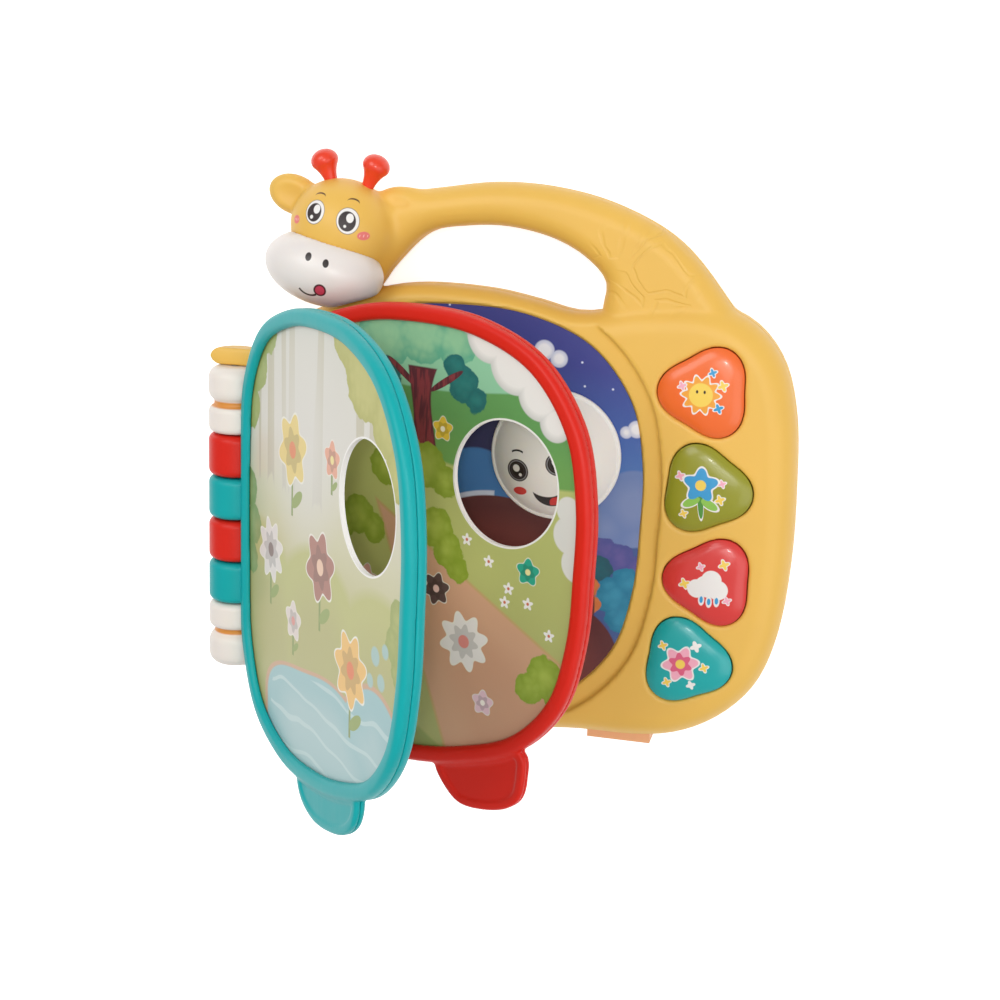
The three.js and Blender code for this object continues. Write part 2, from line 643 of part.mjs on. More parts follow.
// Circuit board and its screws, and the lamp on its own small board.
let board = block([...BOARD_LOW, BOARD_Z], [...BOARD_HIGH, BOARD_Z + BOARD_THICKNESS]);
BOARD_SCREWS.forEach(([x, y], i) => {
  board = cut(board, post(x, y, BOARD_Z - 1, BOARD_Z + 4, SCREW_RADIUS + GAP));
  const geometry = geometryOf(screw(0, 0, 0, BOARD_SCREW_LENGTH));
  geometry.rotateX(Math.PI);
  geometry.translate(x, y, BOARD_Z + BOARD_THICKNESS + GAP + SCREW_HEAD_HEIGHT);
  toy.add(makePart(`board_screw_${i + 1}`, solid(geometry), 'steel'));
});
toy.add(makePart('circuit_board', board, 'board'));
const led = join(
  block([moonX - 7, moonY - 7, SEAM_Z], [moonX + 7, moonY + 7, SEAM_Z + BOARD_THICKNESS]),
  turned(moonX, moonY, SEAM_Z + 1, [[0, 0], [2.5, 0], [2.5, 3], [1.8, 4.6], [0, 5.2]], COARSE));
toy.add(makePart('moon_led', led, 'white'));

// Speaker: a basket and magnet with its open cone towards the back.
toy.add(makePart('speaker', turned(speakerX, speakerY, CASE_WALL + GAP, [
  [0, 5], [5, 4.4], [SPEAKER_RADIUS - 3, 1], [SPEAKER_RADIUS - 3, 0], [SPEAKER_RADIUS, 0],
  [SPEAKER_RADIUS, 1.6], [SPEAKER_RADIUS - 3, 2.4], [11, 7], [11, SPEAKER_DEPTH],
  [0, SPEAKER_DEPTH],
]), 'black'));

// Batteries, their springs and plate, the door and its screw.
const cellZ = LEDGE_Z + CELL_RADIUS;
const cellY0 = bayY - bayHalfLength + SPRING_LENGTH + GAP;

function springAt(x) {
  const points = [];
  for (let i = 0; i <= SPRING_TURNS * COARSE; i += 1) {
    const t = i / (SPRING_TURNS * COARSE);
    const angle = 2 * Math.PI * SPRING_TURNS * t;
    const radius = SPRING_RADIUS - SPRING_TAPER * t;
    points.push(new THREE.Vector3(
      x + radius * Math.cos(angle), bayY - bayHalfLength + 1 + (SPRING_LENGTH - 2) * t,
      cellZ + radius * Math.sin(angle)));
  }
  const round = new THREE.Shape();
  round.absarc(0, 0, SPRING_WIRE, 0, 2 * Math.PI);
  return solid(new THREE.ExtrudeGeometry(round, {
    steps: SPRING_TURNS * COARSE, curveSegments: 3, extrudePath: new THREE.CatmullRomCurve3(points),
    bevelEnabled: false,
  }));
}

[-1, 1].forEach((side, i) => {
  const x = bayX + (side * CELL_SPACING) / 2;
  const cell = new THREE.LatheGeometry([
    [0, 0], [CELL_RADIUS - 0.5, 0], [CELL_RADIUS, 0.5], [CELL_RADIUS, CELL_LENGTH - 0.5],
    [CELL_RADIUS - 0.5, CELL_LENGTH], [2.7, CELL_LENGTH], [2.7, CELL_LENGTH + CELL_NUB],
    [0, CELL_LENGTH + CELL_NUB],
  ].map((p) => new THREE.Vector2(...p)), 24);
  cell.translate(x, cellY0, cellZ);
  toy.add(makePart(`battery_${i + 1}`, solid(cell), 'cell'));
  toy.add(makePart(`battery_spring_${i + 1}`, springAt(x), 'steel'));
});
const plateY = cellY0 + CELL_LENGTH + CELL_NUB + GAP;
toy.add(makePart('battery_plate', block(
  [bayX - cellsHalfWidth + 2, plateY, LEDGE_Z + 2],
  [bayX + cellsHalfWidth - 2, plateY + PLATE_THICKNESS, BAY_TOP_Z - 2]), 'steel'));
const door = cut(
  bayBox(...doorHalf, GAP, GAP + DOOR_THICKNESS),
  post(bayX, doorScrewY, 0, DOOR_THICKNESS + 1, SCREW_RADIUS + GAP),
  post(bayX, doorScrewY, 0, GAP + 1, SCREW_HEAD_RADIUS + GAP));
toy.add(makePart('battery_door', door, 'yellow'));
const doorScrew = turned(bayX, doorScrewY, GAP / 2, [
  [0, 0], [SCREW_HEAD_RADIUS, 0], [SCREW_HEAD_RADIUS, DOOR_SCREW_HEAD_HEIGHT],
  [SCREW_RADIUS, DOOR_SCREW_HEAD_HEIGHT],
  [SCREW_RADIUS, DOOR_SCREW_LENGTH], [0, DOOR_SCREW_LENGTH + 1],
], COARSE);
toy.add(makePart('door_screw', doorScrew, 'steel'));

// Power switch behind the back wall, with a knob that slides in its slot.
const [knobX, knobY] = SWITCH_KNOB.map((size) => size / 2);
const knobTop = CASE_WALL + GAP + 1;
const switchBody = cut(
  block(
    [switchX - SWITCH_BODY[0] / 2, switchY - SWITCH_BODY[1] / 2, CASE_WALL + GAP],
    [switchX + SWITCH_BODY[0] / 2, switchY + SWITCH_BODY[1] / 2, CASE_WALL + SWITCH_BODY[2]]),
  block(
    [switchX - knobX - GAP, switchY - knobY - SWITCH_TRAVEL - GAP, 0],
    [switchX + knobX + GAP, switchY + knobY + SWITCH_TRAVEL + GAP, knobTop + GAP]));
toy.add(makePart('power_switch', switchBody, 'black'));
toy.add(makePart('switch_knob', block(
  [switchX - knobX, switchY - knobY, 0.6],
  [switchX + knobX, switchY + knobY, knobTop]), 'black'));

// Spine: the rod and the two white end blocks that stand on the case.
const rodLow = KNUCKLES_LOW_Y - SPINE_END_LENGTH + END_WALL;
const rodHigh = KNUCKLES_HIGH_Y + SPINE_END_LENGTH - END_WALL;

function atAxis(shape) {
  return shape.translate([0, 0, AXIS_Z]);
}

toy.add(makePart('hinge_rod', atAxis(bar(rodLow + GAP, rodHigh - GAP, ROD_RADIUS)), 'steel'));

// One end block: two barrels with a groove between them, on a foot.
function endBlock(y0, grooveY, y1, boreLow, boreHigh) {
  const grooveRadius = BARREL_RADIUS - GROOVE_DEPTH;
  const below = grooveY - RING_GROOVE / 2;
  const above = grooveY + RING_GROOVE / 2;
  const foot = block(
    [-FOOT_HALF_WIDTH, y0 + FOOT_INSET, RIM_Z + GAP - AXIS_Z],
    [FOOT_HALF_WIDTH, y1 - FOOT_INSET, 0]);
  const turnedForm = onSpine([
    ...barrelProfile(y0, below), [grooveRadius, below + 0.1], [grooveRadius, above - 0.1],
    ...barrelProfile(above, y1)]);
  return atAxis(cut(join(turnedForm, foot), bar(boreLow, boreHigh, ROD_RADIUS + GAP)));
}

toy.add(makePart('upper_spine_block', endBlock(
  KNUCKLES_HIGH_Y + KNUCKLE_GAP / 2, KNUCKLES_HIGH_Y + RING_LENGTH,
  KNUCKLES_HIGH_Y + SPINE_END_LENGTH, KNUCKLES_HIGH_Y - 1, rodHigh), 'white'));
toy.add(makePart('lower_spine_block', endBlock(
  KNUCKLES_LOW_Y - SPINE_END_LENGTH, KNUCKLES_LOW_Y - RING_LENGTH,
  KNUCKLES_LOW_Y - KNUCKLE_GAP / 2, rodLow, KNUCKLES_LOW_Y + 1), 'white'));

// A page: two frame halves that meet at a groove, and the printed card they hold.
const spineSweep = bar(
  KNUCKLES_LOW_Y - SPINE_END_LENGTH - 1, KNUCKLES_HIGH_Y + SPINE_END_LENGTH + 1,
  BARREL_RADIUS + 2 * GAP, FINE);

function makePage(name, drop, angle, tab, knuckleIndexes, paint, cardPaint) {
  const low = -drop - HALF_PAGE;
  const high = -drop + HALF_PAGE;
  const halfTab = TAB_THICKNESS / 2;
  const ring = slab(pageOutline(0), low, high, PAGE_ROUND);
  const tabForm = slab(tabOutline(tab, 0), -drop - halfTab, -drop + halfTab, 1.2);
  const tabHollow = join(
    slab(tabOutline(tab, -TAB_INSET), -drop + halfTab - TAB_RECESS, high + 1),
    slab(tabOutline(tab, -TAB_INSET), low - 1, -drop - halfTab + TAB_RECESS));
  const cardHalf = CARD_THICKNESS / 2;
  const frame = cut(
    join(ring, cut(tabForm, cut(tabHollow, slab(pageOutline(1.2), low - 2, high + 2)))),
    slab(pageOutline(-FRAME_WIDTH), low - 1, high + 1),
    slab(pageOutline(-FRAME_WALL), -drop - cardHalf - GAP, -drop + cardHalf + GAP),
    spineSweep);
  const knuckles = [];
  const webs = [];
  for (const index of knuckleIndexes) {
    const y0 = KNUCKLES_LOW_Y + index * KNUCKLE_PITCH + KNUCKLE_GAP / 2;
    const y1 = y0 + KNUCKLE_PITCH - KNUCKLE_GAP;
    knuckles.push(onSpine(barrelProfile(y0, y1)));
    webs.push(block([3, y0 + 1, low + 0.8], [WEB_REACH, y1 - 1, -drop + HALF_PAGE - 0.8]));
  }
  const webForm = cut(join(...webs), slab(pageOutline(-FRAME_WALL), low - 1, high + 1));
  const rearHalf = cut(
    join(frame.trimByPlane([0, 0, -1], drop + GAP / 2), webForm, ...knuckles),
    bar(KNUCKLES_LOW_Y - 1, KNUCKLES_HIGH_Y + 1, ROD_RADIUS + GAP));
  const frontHalf = cut(
    frame.trimByPlane([0, 0, 1], -drop + GAP / 2),
    ...webs.map((web) => join(web, web.translate([0, GAP, 0]), web.translate([0, -GAP, 0]))
      .translate([0, 0, GAP])));
  const card = cut(
    slab(pageOutline(-FRAME_WALL - GAP), -drop - cardHalf, -drop + cardHalf),
    post(moonX, moonY, low - 1, high + 1, HOLE_RADIUS, FINE));
  const group = new THREE.Group();
  group.add(makePart(`${name}_frame_rear`, rearHalf, paint));
  group.add(makePart(`${name}_frame_front`, frontHalf, paint));
  group.add(makePart(`${name}_card`, card, cardPaint));
  group.position.z = AXIS_Z;
  group.rotation.y = -THREE.MathUtils.degToRad(angle);
  return group;
}

toy.add(makePage('red_page', RED_DROP, RED_ANGLE, RED_TAB, [1, 3], 'red', 'green'));
toy.add(makePage('teal_page', TEAL_DROP, TEAL_ANGLE, TEAL_TAB, [0, 2], 'teal', 'pale'));

// The origin is under the middle of the whole book, on the surface that it lies on.
toy.updateMatrixWorld(true);
const middle = new THREE.Box3().setFromObject(toy, true).getCenter(new THREE.Vector3());
toy.position.set(-middle.x, -middle.y, 0);

export default toy;
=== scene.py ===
import bpy
import numpy as np
import openvdb
from mathutils import Matrix, Vector
from mathutils.geometry import tessellate_polygon


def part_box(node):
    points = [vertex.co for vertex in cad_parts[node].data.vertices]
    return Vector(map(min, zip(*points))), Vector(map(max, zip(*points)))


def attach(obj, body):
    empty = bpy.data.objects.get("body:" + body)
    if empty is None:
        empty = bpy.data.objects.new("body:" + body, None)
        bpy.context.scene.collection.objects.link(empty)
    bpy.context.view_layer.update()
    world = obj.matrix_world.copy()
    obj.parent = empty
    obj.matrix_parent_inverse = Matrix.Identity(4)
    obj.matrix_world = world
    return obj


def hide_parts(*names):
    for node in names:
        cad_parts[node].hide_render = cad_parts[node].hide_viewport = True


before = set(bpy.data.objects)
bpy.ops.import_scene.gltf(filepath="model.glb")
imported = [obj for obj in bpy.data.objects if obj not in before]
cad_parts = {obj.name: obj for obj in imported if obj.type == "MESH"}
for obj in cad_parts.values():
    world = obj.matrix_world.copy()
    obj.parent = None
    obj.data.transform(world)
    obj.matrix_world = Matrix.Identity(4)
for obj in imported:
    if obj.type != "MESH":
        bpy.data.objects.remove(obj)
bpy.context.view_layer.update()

# Case: two shells of yellow styrene, closed at the middle of the edge, with the neck as a handle.
# The front one has the bed for the pages and picture and the windows for the buttons. All of it is
# measured in millimetres from the middle of the spine: x across, y up to the handle, z outwards.
MM = 0.001
SPINE_MIDDLE_Y, AXIS_Z = 82.5, 42.0
rod_low, rod_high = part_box("hinge_rod")
SPINE = np.array([(rod_low.x + rod_high.x) / 2,
                  (rod_low.y + rod_high.y) / 2 - SPINE_MIDDLE_Y * MM, 0.0])
CASE_POINTS = [
    (-10.5, 88), (-10, 42), (-4, 20), (20, 0), (54, -7.5), (100, -4.5), (140, 0), (165, 0.6), (180, 3),
    (193, 8.6), (205, 18), (213.5, 29.5), (219.6, 48), (222.6, 76), (222.6, 106), (220.2, 138),
    (214, 158), (203, 171), (188, 177.4), (160, 176.8), (134, 171.8), (116, 175.4), (96, 178.6),
    (60, 178), (26, 166.5), (2, 152), (-9, 134)]
NECK_POINTS = [
    (200, 165), (190, 181), (171, 201.5), (147, 213.6), (123, 219.2), (99, 220.2), (78, 217.4),
    (58, 213.5), (38, 205), (30, 189), (37, 175), (49, 175), (57, 185), (71.7, 199.2), (88, 202.8),
    (104, 203.3), (123, 199.4), (136.3, 192.3), (143.6, 184), (143, 172), (151, 160), (173, 153),
    (193, 156)]
PAGE_POINTS = [
    (167.6, 88), (167.4, 114), (161.4, 140.5), (143.5, 163), (116, 174.6), (86, 177), (57, 174),
    (29.5, 163), (13, 141), (9, 113), (9, 63), (11.5, 34), (26, 8.5), (55, -3), (86, -2.2),
    (114, 4), (140.5, 15.6), (158.6, 36), (166, 62)]
CASE_DEPTH, CASE_ROUND, CASE_WALL, CASE_STEP = 29.5, 11.0, 2.4, 0.86
CASE_SIDES = (-13, -11), (226, 224)
SEAM_Z, SEAM_GAP, SEAM_SOFT = 16.0, 0.3, 0.35
RIM_Z, PICTURE_Z, WINDOW_FLOOR_Z = 27.0, 25.5, 20.0
PANEL_LEFT_X, STEP_MARGIN, PICTURE_MARGIN, PAGE_ROOM = 128.0, 3.4, 3.93, 0.8
NECK_LOW_Z, NECK_HIGH_Z, NECK_ROUND, NECK_FILLET, CASE_FILLET = 4.0, 26.0, 8.5, 4.0, 1.2
HEAD_CENTRE, HEAD_RADII, HEAD_TILT = (38, 200, 24), (21.2, 19, 18.5), -0.2
EARS = [((16.8, 211.6, 21.5), -0.3, -1), ((59.5, 208.8, 20.5), 0.1, 1)]
EAR_RADII, EAR_DISH, EAR_RIM, EAR_FILLET = (11.2, 7.9, 4.4), (7.8, 5.0, 2.6), 1.2, 2.2
DISH_ACROSS, DISH_OUT = 0.8, 0.6
BRACKET_RADIUS, BRACKET_LOW, BRACKET_HIGH, BRACKET_ROUND = 10.8, 144.8, 151.5, 4.5
POST_LOW, POST_HIGH = (-8, BRACKET_LOW, 17), (12, BRACKET_HIGH - 3, AXIS_Z - 2)
BRACKET_SEAT, BRACKET_FILLET, POST_FILLET = 16.0, 1.0, 2.0
BUTTON_RADIUS, BUTTON_POINT, BUTTON_GAP = 16.5, 0.125, 0.4
BUTTONS = {
    "orange": ((186.2, 145.4), np.pi + 0.04), "olive": ((188.2, 107.4), -0.1),
    "red": ((192.5, 70.7), np.pi), "teal": ((185.0, 36.9), -0.12)}
MOON_CENTRE, MOON_SKIRT = (128.6, 116.0), 18.0
STRIP_LOW, STRIP_HIGH = (145.5, -30.0, 7.0), (171.5, 6.0, 20.0)


def placed(points):
    """Points in millimetres from the spine, as metres in the frame."""
    return np.asarray(points, float) * MM + SPINE


def outline(points, count):
    """A closed centripetal curve through the points: on each stretch a cubic whose end slopes come
    from the neighbours, spaced by the root of the distance, then read at even lengths."""
    p1 = np.array(points, float)
    p0, p2, p3 = np.roll(p1, 1, 0), np.roll(p1, -1, 0), np.roll(p1, -2, 0)
    d0, d1, d2 = [np.sqrt(np.linalg.norm(b - a, axis=1))[:, None]
                  for a, b in ((p0, p1), (p1, p2), (p2, p3))]
    s1 = ((p1 - p0) / d0 - (p2 - p0) / (d0 + d1) + (p2 - p1) / d1) * d1
    s2 = ((p2 - p1) / d1 - (p3 - p1) / (d1 + d2) + (p3 - p2) / d2) * d1
    t = np.linspace(0, 1, 60, endpoint=False)[None, :, None]
    p1, p2, s1, s2 = [v[:, None] for v in (p1, p2, s1, s2)]
    line = (p1 + s1 * t + (3 * (p2 - p1) - 2 * s1 - s2) * t**2
            + (2 * (p1 - p2) + s1 + s2) * t**3).reshape(-1, 2)
    line = np.vstack([line, line[:1]])
    length = np.append(0, np.cumsum(np.linalg.norm(np.diff(line, axis=0), axis=1)))
    even = np.linspace(0, length[-1], count, endpoint=False)
    return np.stack([np.interp(even, length, line[:, k]) for k in (0, 1)], axis=1)


def from_line(x, y, line):
    """Distance of each place x, y from a closed line, negative inside: the least distance to its
    stretches, with the sign from how many stretches a ray to the left crosses."""
    x, y = np.broadcast_arrays(x, y)
    px, py = x.ravel()[:, None].astype(np.float32), y.ravel()[:, None].astype(np.float32)
    a, b = line.astype(np.float32), np.roll(line, -1, 0).astype(np.float32)
    ex, ey = b[:, 0] - a[:, 0], b[:, 1] - a[:, 1]
    out = np.empty(px.shape[0], np.float32)
    for part in np.array_split(np.arange(px.shape[0]), max(1, px.shape[0] // 12000)):
        dx, dy = px[part] - a[:, 0], py[part] - a[:, 1]
        t = np.clip((dx * ex + dy * ey) / (ex * ex + ey * ey), 0, 1)
        near = np.hypot(dx - t * ex, dy - t * ey).min(axis=1)
        passes = (a[:, 1] > py[part]) != (b[:, 1] > py[part])
        crosses = passes & (dx > dy * ex / np.where(ey == 0, 1, ey))
        out[part] = np.where(crosses.sum(axis=1) % 2 == 1, -near, near)
    return out.reshape(x.shape)


def slab(flat, z, low, high, soft):
    """A flat form between two heights with edges of radius soft, from its distance in the plane."""
    side = flat + soft
    deep = np.abs(z - (low + high) / 2) - (high - low) / 2 + soft
    return np.minimum(np.maximum(side, deep), 0) + np.hypot(
        np.maximum(side, 0), np.maximum(deep, 0)) - soft


def egg(x, y, z, centre, radii, tilt, grow=0.0):
    """An egg turned about z: its distance from the ratio of two scaled lengths of the place."""
    c, s = np.cos(tilt), np.sin(tilt)
    dx, dy, dz = x - centre[0], y - centre[1], z - centre[2]
    px, py = c * dx + s * dy, -s * dx + c * dy
    a, b, d = radii
    near = np.sqrt((px / a)**2 + (py / b)**2 + (dz / d)**2)
    slope = np.sqrt((px / a**2)**2 + (py / b**2)**2 + (dz / d**2)**2)
    return near * (near - 1) / np.maximum(slope, 1e-6) - grow


def joined(a, b, soft):
    """Two forms joined, with a fillet of about the size soft where they meet."""
    h = np.clip(0.5 + 0.5 * (b - a) / soft, 0, 1)
    return b + (a - b) * h - soft * h * (1 - h)


def cut(a, b, soft):
    """Form a with form b taken out, its new edges rounded by about the size soft."""
    return -joined(-a, b, soft)


def box(x, y, z, low, high):
    """Distance from a block, exact on its faces."""
    sides = [np.abs(v - (l + h) / 2) - (h - l) / 2 for v, l, h in zip((x, y, z), low, high)]
    return np.maximum(np.maximum(sides[0], sides[1]), sides[2])


case_line, neck_line, page_line = (outline(points, count) for points, count in (
    (CASE_POINTS, 150), (NECK_POINTS, 130), (PAGE_POINTS, 150)))


def button_edge(x, y, centre, turn):
    """Distance from a button's outline: a circle whose radius swells by cos 3 t at three corners."""
    dx, dy = x - centre[0], y - centre[1]
    swell = 1 + BUTTON_POINT * np.cos(3 * (np.arctan2(dy, dx) - turn))
    return np.hypot(dx, dy) - BUTTON_RADIUS * swell


def shell_form(x, y, z):
    """The whole outer form: case slab, rounded neck, head egg and two dished ears, blended. This
    and every form is a depth below its surface, in millimetres and negative inside."""
    flat_case = from_line(x, y, case_line)
    body = slab(flat_case, z, 0, CASE_DEPTH, CASE_ROUND)
    neck = slab(from_line(x, y, neck_line), z, NECK_LOW_Z, NECK_HIGH_Z, NECK_ROUND)
    head = egg(x, y, z, HEAD_CENTRE, HEAD_RADII, HEAD_TILT)
    for centre, tilt, side in EARS:
        dish_at = (centre[0] + DISH_ACROSS * side, centre[1], centre[2] + EAR_RADII[2] + DISH_OUT)
        ear = cut(egg(x, y, z, centre, EAR_RADII, tilt), egg(x, y, z, dish_at, EAR_DISH, tilt), EAR_RIM)
        head = joined(head, ear, EAR_FILLET)
    out = np.hypot(x, z - AXIS_Z) - BRACKET_RADIUS
    bracket = slab(out, y, BRACKET_LOW, BRACKET_HIGH, BRACKET_ROUND)
    bracket = joined(bracket, box(x, y, z, POST_LOW, POST_HIGH), POST_FILLET)
    body = joined(body, bracket, BRACKET_FILLET)
    return joined(joined(neck, head, NECK_FILLET), body, CASE_FILLET), flat_case


def front_form(x, y, z):
    """The front shell: above the seam, less the step, the bed, the windows and the lamp's hole."""
    form, flat_case = shell_form(x, y, z)
    flat_page = from_line(x, y, page_line)
    step = np.minimum(flat_page - STEP_MARGIN, np.maximum(x - PANEL_LEFT_X, flat_case - 1))
    seat = np.maximum(np.hypot(x, y - POST_HIGH[1]) - BRACKET_SEAT, PAGE_ROOM - flat_page)
    form = cut(form, np.maximum(np.maximum(RIM_Z - z, step), -seat), 0.7)
    form = cut(form, np.maximum(PICTURE_Z - z, flat_page + PICTURE_MARGIN), 0.5)
    for centre, turn in BUTTONS.values():
        window = button_edge(x, y, centre, turn) - BUTTON_GAP
        form = cut(form, np.maximum(WINDOW_FLOOR_Z - z, window), 0.9)
    hole = np.hypot(x - MOON_CENTRE[0], y - MOON_CENTRE[1]) - MOON_SKIRT - SEAM_GAP
    form = cut(form, np.maximum(WINDOW_FLOOR_Z - z, hole), 0.5)
    form = cut(form, box(x, y, z, STRIP_LOW, STRIP_HIGH) - SEAM_GAP, 0.4)
    return cut(form, z - SEAM_Z - SEAM_GAP / 2, SEAM_SOFT)


def filled(points, quads, lid):
    """Quads whose faces in the plane z = lid are taken out and filled again from the rims alone:
    the rims are the edges that only one of those faces has, walked round into closed lines."""
    in_lid = (np.abs(points[:, 2] - lid) < 0.01)[quads].all(axis=1)
    faces = quads[in_lid]
    edges = np.stack([faces, np.roll(faces, -1, 1)], axis=-1).reshape(-1, 2)
    keys = np.sort(edges, axis=1)
    keys = keys[:, 0].astype(np.int64) * len(points) + keys[:, 1]
    _, first, times = np.unique(keys, return_index=True, return_counts=True)
    following = dict(edges[first[times == 1]].tolist())
    rims = []
    while following:
        start, at = following.popitem()
        rim = [start]
        while at != start:
            rim.append(at)
            at = following.pop(at)
        rims.append(rim)
    fill = tessellate_polygon([[Vector((*points[k, :2], 0)) for k in rim] for rim in rims])
    numbers = np.concatenate(rims)
    return quads[~in_lid].tolist() + numbers[np.array(fill)].tolist()


def surface(name, points, faces):
    """A smooth-shaded mesh object from points and faces, in metres."""
    mesh = bpy.data.meshes.new(name)
    mesh.from_pydata(points.tolist(), [], faces)
    mesh.shade_smooth()
    piece = bpy.data.objects.new(name, mesh)
    bpy.context.scene.collection.objects.link(piece)
    return piece


def closed_piece(name, points, faces):
    """A closed mesh from points in millimetres. Its faces are turned outwards if the volume that
    they enclose, a third of the sum of area times normal times place, comes out negative."""
    piece = surface(name, placed(points), faces)
    count = len(piece.data.polygons)
    centre, normal, area = np.empty(3 * count), np.empty(3 * count), np.empty(count)
    piece.data.polygons.foreach_get("center", centre)
    piece.data.polygons.foreach_get("normal", normal)
    piece.data.polygons.foreach_get("area", area)
    if ((centre * normal).reshape(-1, 3).sum(axis=1) * area).sum() < 0:
        piece.data.flip_normals()
    return piece


def moulding(name, low, high, step, form, settle=np.asarray, lid=None):
    """The surface where form(x, y, z) is zero, on a grid of that step between two corners. settle
    puts its points in place, and a flat side hidden against another piece, the lid, gets only a
    few faces."""
    sizes = [int(np.ceil((h - l) / step)) + 1 for l, h in zip(low, high)]
    x, y, z = np.meshgrid(*[l + step * np.arange(n, dtype=np.float32)
                            for l, n in zip(low, sizes)], indexing="ij", sparse=True)
    depth = np.broadcast_to(form(x, y, z), sizes)
    grid = openvdb.FloatGrid()
    grid.background = 3 * step
    grid.copyFromArray(np.clip(depth, -3 * step, 3 * step).astype(np.float32))
    points, quads = grid.convertToQuads(isovalue=0.0)
    points = settle(points * step + np.array(low))
    return closed_piece(name, points, quads.tolist() if lid is None else filled(points, quads, lid))


class Field:
    """A number, colour or place that varies over a surface: a node's output, on which sums make
    math nodes in its tree."""
    def __init__(self, socket):
        self.socket, self.tree = socket, socket.id_data

    def __add__(self, other):
        return reckon("ADD", self, other)

    def __sub__(self, other):
        return reckon("SUBTRACT", self, other)

    def __rsub__(self, other):
        return reckon("SUBTRACT", other, self)

    def __mul__(self, other):
        return reckon("MULTIPLY", self, other)

    def __truediv__(self, other):
        return reckon("DIVIDE", self, other)

    def __neg__(self):
        return reckon("MULTIPLY", self, -1.0)

    def __abs__(self):
        return reckon("ABSOLUTE", self)


def feed(node, values):
    """Sets a node's inputs to plain values, or joins them to fields."""
    for name, value in dict(values).items():
        if isinstance(value, Field):
            node.id_data.links.new(value.socket, node.inputs[name])
        else:
            node.inputs[name].default_value = value


def add(tree, kind, values=(), **settings):
    """A shader node with its settings and its inputs."""
    made = tree.nodes.new(kind)
    for name, value in settings.items():
        setattr(made, name, value)
    feed(made, values)
    return made


def reckon(operation, *values, kind="ShaderNodeMath", output=0):
    """One math node on numbers and fields."""
    tree = next(value.tree for value in values if isinstance(value, Field))
    return Field(add(tree, kind, enumerate(values), operation=operation).outputs[output])


def on_places(operation, *values, output=0):
    """One math node on places, or on colours as places."""
    return reckon(operation, *values, kind="ShaderNodeVectorMath", output=output)


def noise(place, scale, detail=2.0, output="Fac"):
    """Smooth noise over a place."""
    values = {"Vector": place, "Scale": scale, "Detail": detail}
    return Field(add(place.tree, "ShaderNodeTexNoise", values).outputs[output])


def cells(place, scale, feature="F1"):
    """Distance from the nearest of scattered points, or from the edges between their cells."""
    values = {"Vector": place, "Scale": scale}
    return Field(add(place.tree, "ShaderNodeTexVoronoi", values, feature=feature).outputs["Distance"])


def between(value, low, high, to_low=0.0, to_high=1.0, kind="LINEAR"):
    """A value's way from low to high, as the same way from to_low to to_high, held at its ends."""
    made = add(value.tree, "ShaderNodeMapRange", {
        "Value": value, "From Min": low, "From Max": high, "To Min": to_low, "To Max": to_high},
        interpolation_type=kind)
    return Field(made.outputs[0])


def group(name, inputs, outputs):
    """A node group with named inputs and outputs: its tree, and what comes in as fields."""
    tree = bpy.data.node_groups.new(name, "ShaderNodeTree")
    for way, labels in (("INPUT", inputs), ("OUTPUT", outputs)):
        for label, kind in labels.items():
            tree.interface.new_socket(label, in_out=way, socket_type="NodeSocket" + kind)
    given = tree.nodes.new("NodeGroupInput").outputs
    return tree, {label: Field(given[label]) for label in inputs}


def moulded_group():
    """Colour times a slow noise, roughness plus a finer one where scuffs are, and a grain height."""
    tree, given = group(
        "moulded", dict(Colour="Color", Roughness="Float", Grain="Float", Mottle="Float", Scuff="Float"),
        dict(Colour="Color", Roughness="Float", Height="Float"))
    place = Field(add(tree, "ShaderNodeTexCoord").outputs["Object"])
    shade = (noise(place, 22.0, 3.0) - 0.5) * given["Mottle"] + 1.0
    scuff = noise(on_places("MULTIPLY", place, (1.0, 0.12, 1.0)), 420.0) - 0.5
    add(tree, "NodeGroupOutput", {
        "Colour": on_places("MULTIPLY", given["Colour"], shade),
        "Roughness": scuff * given["Scuff"] + given["Roughness"],
        "Height": noise(place, 1500.0) * given["Grain"]})
    return tree


MOULDED = moulded_group()
GRAIN_HEIGHT, COAT_ROUGHNESS = 0.02, 0.12
GLOW_REACH = (0.004, 0.003, 0.002)


def plastic(name, colour, roughness=0.46, grain=0.3, coat=0.0, depth=0.0, metal=0.0,
            mottle=0.1, scuff=0.1, gloss=0.5, paint=None, engraving=None):
    """Satin plastic with a faint grain from the mould, a slightly uneven colour and fine scuffs.
    paint(colour) lays printed shapes over the colour, and engraving(colour) gives a height in
    millimetres to add to the grain's."""
    material = bpy.data.materials.new(name)
    material.use_nodes = True
    tree = material.node_tree
    base = add(tree, "ShaderNodeGroup", node_tree=MOULDED)
    feed(base, {"Colour": colour, "Roughness": roughness, "Grain": grain, "Mottle": mottle,
                "Scuff": scuff})
    shown, rough, height = (Field(output) for output in base.outputs)
    height = height * GRAIN_HEIGHT
    if engraving:
        height = height + engraving(shown)
    if paint:
        shown = paint(shown)
    bump = add(tree, "ShaderNodeBump", {"Height": height, "Distance": MM})
    feed(tree.nodes["Principled BSDF"], {
        "Base Color": shown, "Roughness": rough, "Normal": Field(bump.outputs[0]),
        "Metallic": metal, "Specular IOR Level": gloss, "Coat Weight": coat,
        "Coat Roughness": COAT_ROUGHNESS, "Subsurface Weight": depth,
        "Subsurface Radius": GLOW_REACH, "Subsurface Scale": 1.0})
    return material


def srgb(r, g, b):
    """A colour as seen on the toy, 0 to 255, as the linear values that a shader takes."""
    v = np.array([r, g, b]) / 255.0
    return (*np.where(v <= 0.04045, v / 12.92, ((v + 0.055) / 1.055)**2.4).tolist(), 1.0)


